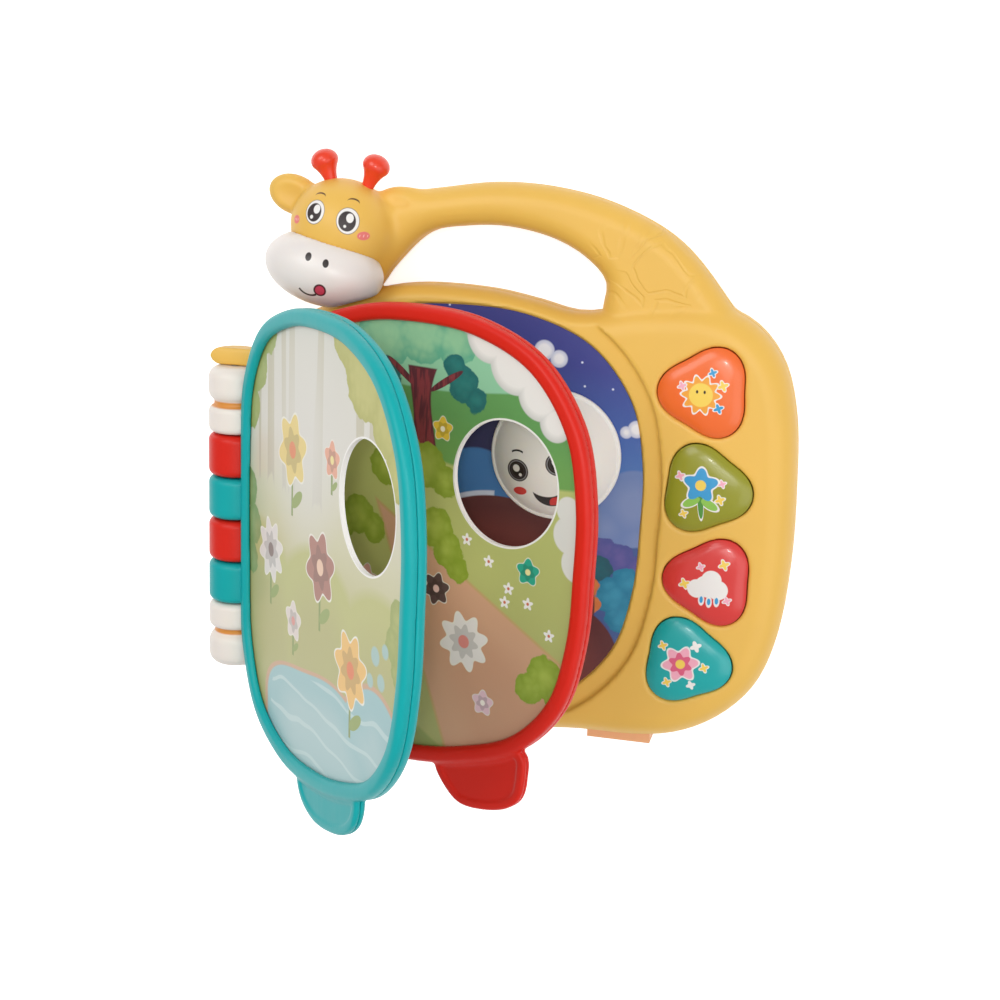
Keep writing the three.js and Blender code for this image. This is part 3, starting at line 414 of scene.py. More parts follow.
def printed_group():
    """radius times (1 + depth cos(petals (angle - turn))) minus the distance from the centre, with
    the place first stretched: a disc at depth 0, a flower or a star with petals."""
    tree, given = group(
        "printed_shape", dict(Place="Vector", Centre="Vector", Stretch="Vector", Radius="Float",
                              Petals="Float", Depth="Float", Turn="Float"), dict(Inside="Float"))
    away = on_places("SUBTRACT", given["Place"], given["Centre"])
    away = Field(add(tree, "ShaderNodeVectorRotate", {"Vector": away, "Angle": given["Turn"]},
                     rotation_type="Z_AXIS").outputs[0])
    away = on_places("DIVIDE", away, given["Stretch"])
    across, up, _ = parts(away)
    wave = reckon("COSINE", reckon("ARCTAN2", up, across) * given["Petals"])
    swell = wave * given["Depth"] + 1.0
    add(tree, "NodeGroupOutput", {
        "Inside": swell * given["Radius"] - on_places("LENGTH", away, output="Value")})
    return tree


def parts(place):
    """A place's x, y and z."""
    return [Field(part) for part in add(place.tree, "ShaderNodeSeparateXYZ", {0: place}).outputs]


PRINTED = printed_group()


def shape(place, centre, radius, stretch=(1, 1), petals=0, depth=0.0, turn=0.0):
    """One printed shape, in millimetres: positive inside, and there the distance to its edge."""
    return Field(add(place.tree, "ShaderNodeGroup", {
        "Place": place, "Centre": (*centre, 0)[:3], "Stretch": (*stretch, 1)[:3], "Radius": radius,
        "Petals": petals, "Depth": depth, "Turn": -turn}, node_tree=PRINTED).outputs[0])


def least(first, *others):
    """The least of several values: what shapes have in common."""
    for other in others:
        first = reckon("MINIMUM", first, other)
    return first


def inked(under, inside, ink, soft=0.35, edge=0.0, strength=1.0):
    """Ink over what is under it where a shape reaches past edge, its rim soft millimetres wide."""
    cover = between(inside, edge - soft / 2, edge + soft / 2, to_high=strength)
    return Field(add(under.tree, "ShaderNodeMix", {0: cover, 6: under, 7: ink},
                     data_type="RGBA").outputs[2])


def in_millimetres(under, kept=(1, 1, 1)):
    """The place on a piece in millimetres from the spine, from Object coordinates, in the
    directions that are kept."""
    place = Field(add(under.tree, "ShaderNodeTexCoord").outputs["Object"])
    return on_places("MULTIPLY", on_places("SUBTRACT", place, tuple(SPINE)),
                     tuple(one / MM for one in kept))


FLAT = (1, 1, 0)
EYES = [((31.75, 206.7, 40.5), 5.0), ((45.36, 203.9, 40.9), 5.3)]
BROWS = [((32.9, 212.6, 37.2), -0.05), ((46.3, 210.9, 37.1), -0.25)]
CHEEKS = [((23.0, 203.1, 36.8), (1.0, 0.8, 1.0)), ((51.1, 198.2, 38.4), (1.45, 0.8, 1.0))]
INK, WHITE_INK = srgb(44, 34, 32), srgb(244, 240, 236)
PUPIL, BLUSH, BLUSH_LINE = srgb(52, 40, 40), srgb(236, 120, 116), srgb(250, 190, 184)
YELLOW = srgb(238, 190, 88)


def eye_print(under, place, centre, size):
    """An eye: a fine rim, the white, the dark pupil, a large highlight and a small one."""
    x, y, z = centre
    rim = shape(place, centre, size, (0.86, 1, 1))
    pupil = shape(place, (x - size * 0.05, y - size * 0.04, z), size * 0.74, (0.86, 1, 1))
    gleam = shape(place, (x + size * 0.16, y + size * 0.22, z), size * 0.36, (0.8, 1.05, 1))
    spark = shape(place, (x - size * 0.22, y - size * 0.42, z), size * 0.16)
    for inside, ink, edge in ((rim, srgb(150, 130, 112), 0), (rim, WHITE_INK, 0.3), (pupil, PUPIL, 0),
                              (gleam, WHITE_INK, 0), (spark, WHITE_INK, 0)):
        under = inked(under, inside, ink, 0.22, edge)
    return under


def brow_print(under, place, centre, turn):
    """A brow: a thin arc, as an oval less the same oval moved down."""
    x, y, z = centre
    outer = shape(place, centre, 2.3, (1.0, 0.6, 2.0), turn=turn)
    inner = shape(place, (x + 0.5 * turn, y - 0.6, z), 2.35, (1.1, 0.6, 2.0), turn=turn)
    return inked(under, least(outer, -inner), srgb(96, 62, 40), 0.3)


def face_print(under):
    """The head's print: two eyes, two brows and two blushes with short strokes in them."""
    place = in_millimetres(under)
    for centre, size in EYES:
        under = eye_print(under, place, centre, size)
    for centre, turn in BROWS:
        under = brow_print(under, place, centre, turn)
    for (x, y, z), stretch in CHEEKS:
        under = inked(under, shape(place, (x, y, z), 2.1, stretch), BLUSH, 0.3)
        for across in (-0.9, 0.0, 0.9):
            stroke = shape(place, (x + across * stretch[0], y, z), 0.8, (0.22, 0.75, 2.0), turn=-0.3)
            under = inked(under, stroke, BLUSH_LINE, 0.2)
    return under


PATCH_DEPTH, PATCH_INSET, NECK_ROOT = 0.18, 1.8, (160, 191)


def patch_lines(under):
    """Fine engraved lines round giraffe patches: shallow where the distance from a cell's edge is
    near the inset, the cells bent by noise, and only at the root of the neck."""
    place = in_millimetres(under, FLAT)
    bent = on_places("MULTIPLY_ADD", noise(place, 0.07, 1.0, "Color"), (12, 12, 0), place)
    off_line = abs(cells(bent, 0.055, "DISTANCE_TO_EDGE") * 18.0 - PATCH_INSET)
    line = between(off_line, 0.15, 0.8, -PATCH_DEPTH, 0.0, "SMOOTHSTEP")
    return line * between(shape(place, NECK_ROOT, 25, (1, 0.72), turn=-0.5), 0.0, 5.0)


def dress(piece, material, body, slot, *replaced):
    """Gives a finished piece its material and its body, and hides the nodes it stands for. slot is not
    used.
    """
    piece.data.materials.clear()
    piece.data.materials.append(material)
    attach(piece, body)
    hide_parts(*replaced)
    return piece


yellow_plastic = plastic("yellow_plastic", YELLOW, grain=0.35, depth=0.05)
front_plastic = plastic("front_plastic", YELLOW, grain=0.35, depth=0.05, paint=face_print,
                        engraving=patch_lines)
front = moulding("case_front", (*CASE_SIDES[0], 14.9), (*CASE_SIDES[1], 44), CASE_STEP, front_form,
                 lid=SEAM_Z + SEAM_GAP / 2)
dress(front, front_plastic, "case", "yellow_shell", "front_housing")

SPEAKER_CENTRE, SPEAKER_RADIUS = (66.0, 128.0), 20.0
GRILLE_PITCH, GRILLE_SLOT, GRILLE_MARGIN = 4.6, 2.2, 3.0
DOOR_GAP = 0.35
SWITCH_SLOT_LOW, SWITCH_SLOT_HIGH = (115.7, 46.0, -1.0), (120.3, 58.0, 9.2)
HOUSING_SCREWS = [(18, 34), (20, 142), (96, 6), (100, 170), (214, 100), (158, 166)]
WELL_RADIUS, WELL_DEPTH = 2.9, 8.0


def in_toy(corner):
    """A frame corner in metres, as millimetres from the spine."""
    return (np.array(corner) - SPINE) / MM


def rear_form(x, y, z):
    """The rear shell: below the seam, less the battery bay, screw wells, grille and switch slot."""
    form, flat_case = shell_form(x, y, z)
    door_low, door_high = (in_toy(corner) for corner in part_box("battery_door"))
    cell_low, cell_high = in_toy(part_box("battery_1")[0]), in_toy(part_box("battery_2")[1])
    form = cut(form, box(x, y, z, (*door_low[:2], -2), door_high) - DOOR_GAP, 0.5)
    form = cut(form, box(x, y, z, cell_low - (1, 7, 2), cell_high + (1, 2, 6)), 0.5)
    for sx, sy in HOUSING_SCREWS:
        well = np.maximum(np.hypot(x - sx, y - sy) - WELL_RADIUS, z - WELL_DEPTH)
        form = cut(form, well, 0.6)
    from_speaker = np.hypot(x - SPEAKER_CENTRE[0], y - SPEAKER_CENTRE[1]) - SPEAKER_RADIUS
    across = np.mod(x - SPEAKER_CENTRE[0] + GRILLE_PITCH / 2, GRILLE_PITCH) - GRILLE_PITCH / 2
    slots = np.maximum(np.abs(across) - GRILLE_SLOT / 2, from_speaker + GRILLE_MARGIN)
    form = cut(form, np.maximum(from_speaker - 0.5, CASE_WALL - z), 0.4)
    form = cut(form, np.maximum(slots, z - CASE_WALL - 1), 0.5)
    form = cut(form, box(x, y, z, SWITCH_SLOT_LOW, SWITCH_SLOT_HIGH), 0.4)
    form = cut(form, box(x, y, z, STRIP_LOW, STRIP_HIGH) - SEAM_GAP, 0.4)
    return cut(form, SEAM_Z - SEAM_GAP / 2 - z, SEAM_SOFT)


def refinish(material, *names):
    """Gives CAD nodes whose shape is right a better material."""
    for name in names:
        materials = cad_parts[name].data.materials
        materials.clear()
        materials.append(material)


rear = moulding("case_rear", (*CASE_SIDES[0], -1.1), (*CASE_SIDES[1], 17), CASE_STEP, rear_form,
                lid=SEAM_Z - SEAM_GAP / 2)
dress(rear, yellow_plastic, "case", "yellow_shell", "rear_housing")
refinish(plastic("door_plastic", YELLOW, 0.42, 0.5), "battery_door")
refinish(plastic("peach_plastic", srgb(245, 182, 132), 0.55, 0.6), "bottom_strip")

# Muzzle: a cup of white styrene glued over the front of the head, printed with two nostrils, a
# smile and the tip of a tongue. Its lower edge leaves room for the closed pages.
MUZZLE_CENTRE, MUZZLE_RADII, MUZZLE_TILT = (33.0, 184.1, 32), (24.3, 14.7, 17), -0.2
MUZZLE_LOW, MUZZLE_HIGH, MUZZLE_STEP = (8, 168, 15.5), (62, 203, 51), 0.5
NOSTRILS = [(31.9, 190.1, 47.9), (39.0, 187.9, 48.2)]
SMILE_CENTRE, SMILE_RADIUS, SMILE_WIDTH = (32.6, 181.6, 43.4), 7.0, 0.55
TONGUE = (36.4, 177.4, 46.2)


def muzzle_form(x, y, z):
    """The muzzle's egg outside the head and the neck, above the seam, less the room for pages."""
    form = egg(x, y, z, MUZZLE_CENTRE, MUZZLE_RADII, MUZZLE_TILT)
    head = egg(x, y, z, HEAD_CENTRE, HEAD_RADII, HEAD_TILT, SEAM_GAP)
    neck = slab(from_line(x, y, neck_line), z, NECK_LOW_Z, NECK_HIGH_Z, NECK_ROUND)
    case = slab(from_line(x, y, case_line), z, 0, CASE_DEPTH, CASE_ROUND)
    form = cut(form, np.minimum(head, np.minimum(neck, case) - SEAM_GAP), 0.5)
    form = cut(form, np.maximum(RIM_Z - z, from_line(x, y, page_line) - PAGE_ROOM), 1.6)
    return cut(form, z - SEAM_Z - SEAM_GAP, SEAM_SOFT)


def muzzle_print(under):
    """Nostrils, a smile as a thin ring's lower right part, and the tongue at its end."""
    place = in_millimetres(under)
    for centre in NOSTRILS:
        under = inked(under, shape(place, centre, 1.75, (0.72, 1.05, 1)), INK, 0.25)
    line = SMILE_WIDTH / 2 - abs(shape(place, SMILE_CENTRE, SMILE_RADIUS))
    window = shape(place, (30.6, 175.4, 43.0), 4.2, (1, 0.8, 2))
    under = inked(under, least(line, window), INK, 0.2)
    tongue = shape(place, TONGUE, 2.7, (0.95, 1.05, 1.2), turn=-0.5)
    under = inked(under, tongue, srgb(74, 26, 34), 0.25)
    return inked(under, tongue, srgb(206, 66, 92), 0.25, 0.65)


muzzle = moulding("muzzle_cup", MUZZLE_LOW, MUZZLE_HIGH, MUZZLE_STEP, muzzle_form)
white_print = plastic("muzzle_plastic", srgb(238, 231, 226), 0.34, 0.25, 0.1, 0.08, paint=muzzle_print)
dress(muzzle, white_print, "case", "white_shell", "muzzle")

# Horns: two glossy red bulbs on waisted stems, moulded with a peg and pressed into the head.
HORN_FEET = [((33.4, 216.2, 24), 0.36, "horn_left"), ((47.2, 215.0, 24), -0.4, "horn_right")]
HORN_BULB, HORN_FLAT, HORN_STEM, HORN_HEIGHT, HORN_ROOT = 5.5, 4.5, 2.3, 14.6, 3.0


def ringed(rows, count):
    """Faces of a closed form made of rings: quads between neighbours, and fans from the first and
    the last ring to two points that follow the rings' own."""
    i, j = np.meshgrid(np.arange(rows - 1), np.arange(count), indexing="ij")
    k = (j + 1) % count
    quads = np.stack([i * count + j, (i + 1) * count + j, (i + 1) * count + k, i * count + k], axis=-1)
    j, first, last = np.arange(count), np.full(count, rows * count), (rows - 1) * count
    k = (j + 1) % count
    fans = np.vstack([np.stack([j, k, first], axis=1),
                      np.stack([last + k, last + j, first + 1], axis=1)])
    return [*quads.reshape(-1, 4).tolist(), *fans.tolist()]


def turning(name, profile, count, settle):
    """A turned form: the profile's (radius, height) rows carried round an axis in count steps,
    starting and ending on the axis. settle puts (across, along, out) points in place."""
    radius, height = np.asarray(profile, float).T
    t = np.linspace(0, 2 * np.pi, count, endpoint=False)
    grid = np.stack([radius[1:-1, None] * np.cos(t), height[1:-1, None] + 0 * t,
                     radius[1:-1, None] * np.sin(t)], axis=-1).reshape(-1, 3)
    points = np.vstack([grid, [[0, height[0], 0], [0, height[-1], 0]]])
    return closed_piece(name, settle(points), ringed(len(radius) - 2, count))


def horn_profile():
    """A stem that widens upwards by the cube of the way up into a bulb, which is an oval."""
    t = np.linspace(0, 1, 24)
    middle = HORN_HEIGHT - HORN_FLAT
    height = -HORN_ROOT + t * (middle - 1.6 + HORN_ROOT)
    stem = np.stack([HORN_STEM + (HORN_BULB * 0.93 - HORN_STEM) * t**3.2, height], axis=1)
    a = np.linspace(-0.22, np.pi / 2, 26)
    bulb = np.stack([HORN_BULB * np.cos(a), middle + HORN_FLAT * np.sin(a)], axis=1)
    whole = np.vstack([[[0, -HORN_ROOT]], stem, bulb])
    whole[-1, 0] = 0
    return whole


horn_red = plastic("horn_plastic", srgb(236, 62, 30), 0.34, 0.2, 0.2, 0.05)
for foot, lean, name in HORN_FEET:
    def lean_over(points, foot=foot, lean=lean):
        """Points leant about z by the horn's lean and moved to its foot."""
        c, s = np.cos(lean), np.sin(lean)
        x, y, z = points.T
        return np.stack([c * x - s * y, s * x + c * y, z], axis=1) + foot

    horn = turning(name + "_bulb", horn_profile(), 56, lean_over)
    smooth = horn.modifiers.new("smooth", "SUBSURF")
    smooth.levels = smooth.render_levels = 1
    dress(horn, horn_red, "case", "horn_red", name)

# Moon lamp: a milky dome with a flat flange, snapped into the picture bed over a small lamp, and
# printed with a plain smiling face.
MOON_RADIUS, MOON_HEIGHT, MOON_FLANGE, FLANGE_THICKNESS = 24.7, 12.5, 26.1, 1.6


def moon_profile():
    """The lens from its middle inside, down the skirt, out along the flange and over the dome."""
    bend = (MOON_RADIUS**2 + MOON_HEIGHT**2) / (2 * MOON_HEIGHT)
    a = np.linspace(np.arcsin(MOON_RADIUS / bend), 0, 40)
    top = FLANGE_THICKNESS + MOON_HEIGHT - bend
    dome = np.stack([bend * np.sin(a), top + bend * np.cos(a)], axis=1)
    dome[-1, 0] = 0
    rim = [(MOON_FLANGE - 0.4, 0.0), (MOON_FLANGE, 0.4), (MOON_FLANGE, FLANGE_THICKNESS - 0.7),
           (MOON_FLANGE - 0.25, FLANGE_THICKNESS - 0.2), (MOON_FLANGE - 0.8, FLANGE_THICKNESS),
           (MOON_RADIUS + 0.2, FLANGE_THICKNESS + 0.05)]
    skirt = [(0, -1.0), (MOON_SKIRT - 1.8, -1.0), (MOON_SKIRT - 1.8, -4.0), (MOON_SKIRT - 0.3, -4.0),
             (MOON_SKIRT, -3.6), (MOON_SKIRT, 0.0)]
    return np.vstack([skirt, rim, dome])


def on_moon(points):
    """Turned points stood up on the picture bed's rim."""
    x, along, out = points.T
    return np.stack([x + MOON_CENTRE[0], out + MOON_CENTRE[1], along + RIM_Z], axis=1)


def moon_print(under):
    """Two round eyes, brows, blushes and an open smile, in plain shapes."""
    place = in_millimetres(under, FLAT)
    for x, y in ((115.6, 110.6), (131.8, 115.0)):
        eye = shape(place, (x, y), 4.6)
        for ink, edge in ((INK, 0), (srgb(150, 146, 150), 0.45), (INK, 0.9), (srgb(70, 60, 64), 1.5),
                          (INK, 1.9)):
            under = inked(under, eye, ink, 0.25, edge)
        under = inked(under, shape(place, (x - 0.6, y + 0.9), 1.5), WHITE_INK, 0.25)
        under = inked(under, shape(place, (x + 1.2, y - 1.6), 0.7), WHITE_INK, 0.2)
        brow = 0.35 - abs(shape(place, (x, y + 3.5), 4.6))
        under = inked(under, least(brow, shape(place, (x - 0.4, y + 8.2), 2.6)), INK, 0.2)
    for centre in ((116.2, 101.8), (139.0, 107.0)):
        blush = shape(place, centre, 2.4, (1.25, 0.75), turn=0.2)
        under = inked(under, blush, srgb(226, 60, 48), 0.35)
    mouth = least(shape(place, (128.8, 103.6), 7.0), -shape(place, (127.2, 110.4), 9.6))
    under = inked(under, mouth, INK, 0.3)
    tongue = least(mouth, shape(place, (131.4, 98.2), 3.4))
    return inked(under, tongue, srgb(222, 56, 50), 0.3, 0.5)


moon = turning("moon_dome", moon_profile(), 128, on_moon)
moon_plastic = plastic("moon_plastic", srgb(252, 247, 240), 0.36, 0.1, 0.1, 0.2, mottle=0.03,
                       paint=moon_print)
dress(moon, moon_plastic, "case", "moon_white", "moon_lens")
refinish(plastic("lamp_epoxy", srgb(244, 243, 232), 0.15, 0.0, 0.5, mottle=0.2), "moon_led")

# Picture card: a printed sheet under a gloss film, glued in the case's bed. It shows a plain night
# sky with stars and clouds over bushes and bare ground.
CARD_SCALE, SHEET_HEIGHT, HOLE_POINTS = 200.0, 180.0, 96
PICTURE_GAP = 0.4


def grown(line, grow):
    """A closed anticlockwise line moved outwards by grow, along the normal at each point."""
    along = np.roll(line, -1, 0) - np.roll(line, 1, 0)
    along /= np.linalg.norm(along, axis=1)[:, None]
    return line + grow * np.stack([along[:, 1], -along[:, 0]], axis=1)


def circle(centre, radius, count):
    """A round hole's line, clockwise."""
    t = np.linspace(0, -2 * np.pi, count, endpoint=False)
    return np.stack([centre[0] + radius * np.cos(t), centre[1] + radius * np.sin(t)], axis=1)


def plate(name, line, hole, low, high, settle=np.asarray):
    """A flat sheet between two heights: both faces filled inside the line and outside the hole,
    with walls round both edges. Its UV map is the place on the sheet over CARD_SCALE."""
    flat, count = np.vstack([line, hole]), len(line) + len(hole)
    fill = np.array(tessellate_polygon([[Vector((x, y, 0)) for x, y in loop] for loop in (line, hole)]))
    a, b, c = flat[fill[:, 0]], flat[fill[:, 1]], flat[fill[:, 2]]
    area = (b[:, 0] - a[:, 0]) * (c[:, 1] - a[:, 1]) - (b[:, 1] - a[:, 1]) * (c[:, 0] - a[:, 0])
    fill = np.where(area[:, None] > 0, fill, fill[:, ::-1])
    i, hole_start = np.arange(count), len(line)
    j = np.append((i[:hole_start] + 1) % hole_start,
                  hole_start + (i[hole_start:] + 1 - hole_start) % len(hole))
    walls = np.stack([i, j, j + count, i + count], axis=1)
    walls[hole_start:] = walls[hole_start:, ::-1]
    points = np.vstack([np.column_stack([flat, np.full(count, height)]) for height in (low, high)])
    faces = [*fill[:, ::-1].tolist(), *(fill + count).tolist(), *walls.tolist()]
    piece = closed_piece(name, settle(points), faces)
    mesh = piece.data
    mesh.shade_flat()
    corner = np.empty(len(mesh.loops), np.int32)
    mesh.loops.foreach_get("vertex_index", corner)
    places = (np.tile(flat, (2, 1))[corner] / CARD_SCALE).astype(np.float32)
    mesh.uv_layers.new(name="print").data.foreach_set("uv", places.ravel())
    return piece


def on_sheet(under):
    """The place on a printed sheet in millimetres, from its UV map, and its x and y alone."""
    uv = Field(add(under.tree, "ShaderNodeUVMap", uv_map="print").outputs[0])
    place = on_places("MULTIPLY", uv, (CARD_SCALE,) * 3)
    return place, *parts(place)[:2]


def most(first, *others):
    """The greatest of several values: shapes joined into one."""
    for other in others:
        first = reckon("MAXIMUM", first, other)
    return first


def puffs(place, rows):
    """A cloud or a bush: discs joined into one, each row its x, y and radius."""
    return most(*[shape(place, (x, y), radius) for x, y, radius in rows])


def leafy(place, under, rows, dark, light, size=0.22):
    """A bush or tree crown: discs roughened by noise, with lighter leaves dabbed on them."""
    rough = puffs(place, rows) + (noise(place, size, 4.0) - 0.5) * 4.0
    under = inked(under, rough, dark, 0.5)
    under = inked(under, rough, light, 6.0, 4.5, 0.7)
    dabs = (0.42 - cells(place, size * 1.2)) * 6.0
    return inked(under, least(rough - 1.6, dabs), light, 3.0, 0.0, 0.45)


def ramp(value, *stops):
    """Colours between places on a value, each stop its place from 0 to 1 and its colour."""
    made = add(value.tree, "ShaderNodeValToRGB", {0: value})
    band = made.color_ramp
    while len(band.elements) < len(stops):
        band.elements.new(0.5)
    for element, (at, colour) in zip(band.elements, stops):
        element.position = at
        element.color = srgb(*colour)
    return Field(made.outputs[0])


def waved(along, pitch, start, height, level):
    """A wavy line's height: a level plus height times the sine of pitch times the place along."""
    return reckon("SINE", along * pitch + start) * height + level


def layers(under, *rows):
    """Inks laid one over another, each row a shape, the ink's sRGB colour and inked's settings."""
    for inside, ink, *settings in rows:
        under = inked(under, inside, srgb(*ink), *settings)
    return under


def bushes(place, under, *rows):
    """Bushes laid one over another, each row its discs, its dark and its light sRGB colour."""
    for discs, dark, light in rows:
        under = leafy(place, under, discs, srgb(*dark), srgb(*light))
    return under


def night_print(under):
    """Sky from violet to blue, stars, clouds, far bushes and a bare dark mound with a pale rim."""
    place, x, y = on_sheet(under)
    sky = ramp(y / SHEET_HEIGHT, (0.3, (82, 126, 188)), (0.55, (84, 132, 196)), (0.7, (66, 98, 172)),
               (0.84, (58, 64, 142)), (1.0, (52, 50, 122)))
    stars = least(0.055 - cells(place, 0.13), (y - 112.0) / 100.0)
    # A dark navy patch laid over the sky at the upper left, beside the moon's hole.
    navy_patch = puffs(place, [(98, 128, 16), (84, 136, 18), (64, 128, 18), (40, 120, 16)])
    swell = puffs(place, [(96, 98, 18), (74, 96, 16), (50, 92, 18), (28, 90, 14)])
    broad = puffs(place, [(161, 98, 14), (150, 88, 9), (166, 82, 12)])
    cloud = puffs(place, [(160, 128.5, 3.4), (156, 127, 2.4), (164, 127.5, 3), (122, 157, 4),
                          (128, 154, 3.4), (116, 154, 3), (60, 148, 6), (68, 146, 5), (51, 145, 5)])
    band = waved(x, 0.12, 0.0, 1.6, 80.0) - y
    sky = layers(sky, (stars, (226, 232, 250), 0.05), (navy_patch, (46, 44, 88), 3.0),
                 (swell, (64, 120, 180), 1.0), (broad, (112, 134, 186), 0.9),
                 (broad, (134, 150, 194), 7.0, 6.0, 0.7), (cloud, (206, 208, 226), 0.6),
                 (cloud, (240, 238, 242), 1.2, 1.2), (band, (68, 94, 152), 0.8))
    sky = bushes(place, sky,
                 ([(156, 76, 6), (163, 72, 6), (149, 79, 5), (60, 80, 9)],
                  (80, 84, 152), (110, 96, 164)),
                 ([(148, 71, 5.5), (142, 74, 5)], (30, 88, 104), (40, 112, 124)),
                 ([(154, 60, 8), (159, 66, 6), (158, 52, 7), (30, 60, 10)],
                  (30, 124, 160), (64, 158, 190)),
                 ([(143, 63, 5.5), (141, 70, 4.5), (145, 56, 4)], (214, 122, 66), (238, 158, 98)))
    mound = puffs(place, [(104, 54, 43), (132, 30, 26), (56, 34, 36)])
    return layers(sky, (least(mound + 2.0, 104.0 - x), (206, 214, 232), 0.6),
                  (mound, (94, 44, 46), 0.6), (mound, (120, 58, 54), 9.0, 9.0, 0.8))


picture = plate("night_picture", grown(page_line, -PICTURE_MARGIN - PICTURE_GAP),
                circle(MOON_CENTRE, MOON_SKIRT + SEAM_GAP, HOLE_POINTS),
                PICTURE_Z + SEAM_GAP, RIM_Z - SEAM_GAP)
film = dict(roughness=0.45, grain=0.04, coat=0.1, mottle=0.03, scuff=0.02)
dress(picture, plastic("night_film", srgb(70, 90, 160), paint=night_print, **film), "case",
      "night_card", "picture_card")

# Buttons: four domed caps of clear-coated plastic with rounded corners, each printed with a plain
# motif outlined in white, over a rubber pad on the board.
BUTTON_TOP, BUTTON_DOME, BUTTON_LOW, BUTTON_STEPS = 31.9, 2.6, 25.6, 96
BUTTON_INKS = {"orange": srgb(246, 112, 44), "olive": srgb(152, 152, 36), "red": srgb(222, 58, 54),
               "teal": srgb(16, 172, 172)}


def button_cap(name, centre, turn):
    """Rings of the button's outline: straight up its wall, over a rounded shoulder, then a dome
    that falls by powers of the way out."""
    t = np.linspace(0, 2 * np.pi, BUTTON_STEPS, endpoint=False)
    edge = BUTTON_RADIUS * (1 + BUTTON_POINT * np.cos(3 * (t - turn)))
    s = np.sin(np.linspace(0.06, 1, 26) * np.pi / 2)[::-1]
    rise = BUTTON_TOP - BUTTON_DOME * (0.35 * s**2 + 0.65 * s**7)
    out, height = np.append(1.0, s)[:, None], np.append(BUTTON_LOW, rise)[:, None]
    rings = np.stack([out * edge * np.cos(t), out * edge * np.sin(t), height + 0 * t], axis=-1)
    points = np.vstack([rings.reshape(-1, 3), [[0, 0, BUTTON_LOW], [0, 0, BUTTON_TOP]]])
    piece = closed_piece(name, points + (*centre, 0), ringed(len(rings), BUTTON_STEPS))
    crease = piece.modifiers.new("soft_edge", "BEVEL")
    crease.width = 0.0004
    crease.segments = 3
    crease.angle_limit = np.radians(50)
    return piece


def motif_print(centre, big, small):
    """A painter for one button: outlined shapes in front, each its place from the centre, radius,
    ink and shape's settings, and small white-rimmed sparkles round them."""
    def paint(under):
        place = in_millimetres(under, FLAT)
        made = [(shape(place, (centre[0] + dx, centre[1] + dy), radius, *settings), ink)
                for dx, dy, radius, ink, *settings in big]
        under = inked(under, most(*[inside for inside, ink in made]), WHITE_INK, 0.3, -0.75)
        for inside, ink in made:
            under = inked(under, inside, ink, 0.25)
        for dx, dy, radius, ink in small:
            spark = shape(place, (centre[0] + dx, centre[1] + dy), radius, (1, 1), 4, 0.38, 0.4)
            under = inked(under, spark, WHITE_INK, 0.25, -0.45)
            under = inked(under, spark, ink, 0.25)
        return under
    return paint


SUN, SUN_DEEP, SKY_INK = srgb(250, 214, 92), srgb(246, 168, 60), srgb(60, 160, 214)
LEAF, LEAF_DEEP = srgb(146, 200, 84), srgb(84, 150, 62)
PETAL, PETAL_DEEP = srgb(248, 176, 196), srgb(226, 96, 132)
ROUND, LEAN = (1, 1), (1.2, 0.55)
MOTIFS = {
    "orange": ([(-1.6, -0.6, 6.4, SUN_DEEP, ROUND, 10, 0.16), (-1.6, -0.6, 4.6, SUN),
                (-3.1, 0.6, 0.55, INK, (0.8, 1.2)), (-0.2, 0.6, 0.55, INK, (0.8, 1.2))],
               [(6.6, 3.4, 1.5, SUN), (5.4, -5.4, 1.4, SKY_INK), (-9.0, 2.4, 1.2, PETAL),
                (2.4, 8.2, 1.2, SKY_INK)]),
    "olive": ([(-1.0, -5.4, 4.4, LEAF_DEEP, (0.24, 1.3), 0, 0.0, 0.1),
               (-4.6, -4.6, 3.0, LEAF, LEAN, 0, 0.0, 0.5), (2.4, -5.2, 3.0, LEAF, LEAN, 0, 0.0, -0.5),
               (-1.4, 2.2, 5.6, SKY_INK, ROUND, 5, 0.22, 0.3), (-1.4, 2.2, 2.1, SUN)],
              [(-9.6, 5.2, 1.3, PETAL), (6.4, -3.0, 1.4, SUN), (6.8, 3.4, 1.1, PETAL),
               (-7.4, -9.6, 1.2, SUN)]),
    "red": ([(-0.6, -1.2, 4.2, WHITE_INK, (1.0, 0.9)), (-4.6, -2.4, 3.0, WHITE_INK),
             (3.6, -2.4, 3.2, WHITE_INK), (0.9, 1.4, 3.2, WHITE_INK),
             *[(dx, dy, 1.0, SKY_INK, (0.7, 1.4))
               for dx, dy in ((-2.6, -6.8), (0.4, -7.4), (3.4, -6.8))]],
            [(5.4, 8.0, 1.5, SUN), (-9.6, -1.0, 1.5, SUN), (7.4, -6.4, 1.2, PETAL),
             (-3.6, 6.4, 1.1, PETAL)]),
    "teal": ([(-1.6, -0.4, 6.0, PETAL, ROUND, 6, 0.2, 0.2),
              (-1.6, -0.4, 4.0, PETAL_DEEP, ROUND, 6, 0.2, 0.72), (-1.6, -0.4, 1.9, SUN)],
             [(-9.0, 6.4, 1.3, SUN), (4.0, 7.4, 1.4, WHITE_INK), (7.8, -1.0, 1.3, SUN),
              (-6.6, -8.6, 1.3, SUN), (3.0, -8.8, 1.1, WHITE_INK)])}
for colour, (centre, turn) in BUTTONS.items():
    cap = button_cap("button_cap_" + colour, centre, turn)
    gloss = plastic("button_gloss_" + colour, BUTTON_INKS[colour], 0.32, 0.05, 0.3, 0.05, mottle=0.05,
                    scuff=0.04, paint=motif_print(centre, *MOTIFS[colour]))
    dress(cap, gloss, colour + "_button", "button_" + colour, "button_" + colour)
rubber = plastic("pad_rubber", srgb(142, 142, 146), 0.75, 0.5)
refinish(rubber, *["button_pad_" + colour for colour in BUTTONS])

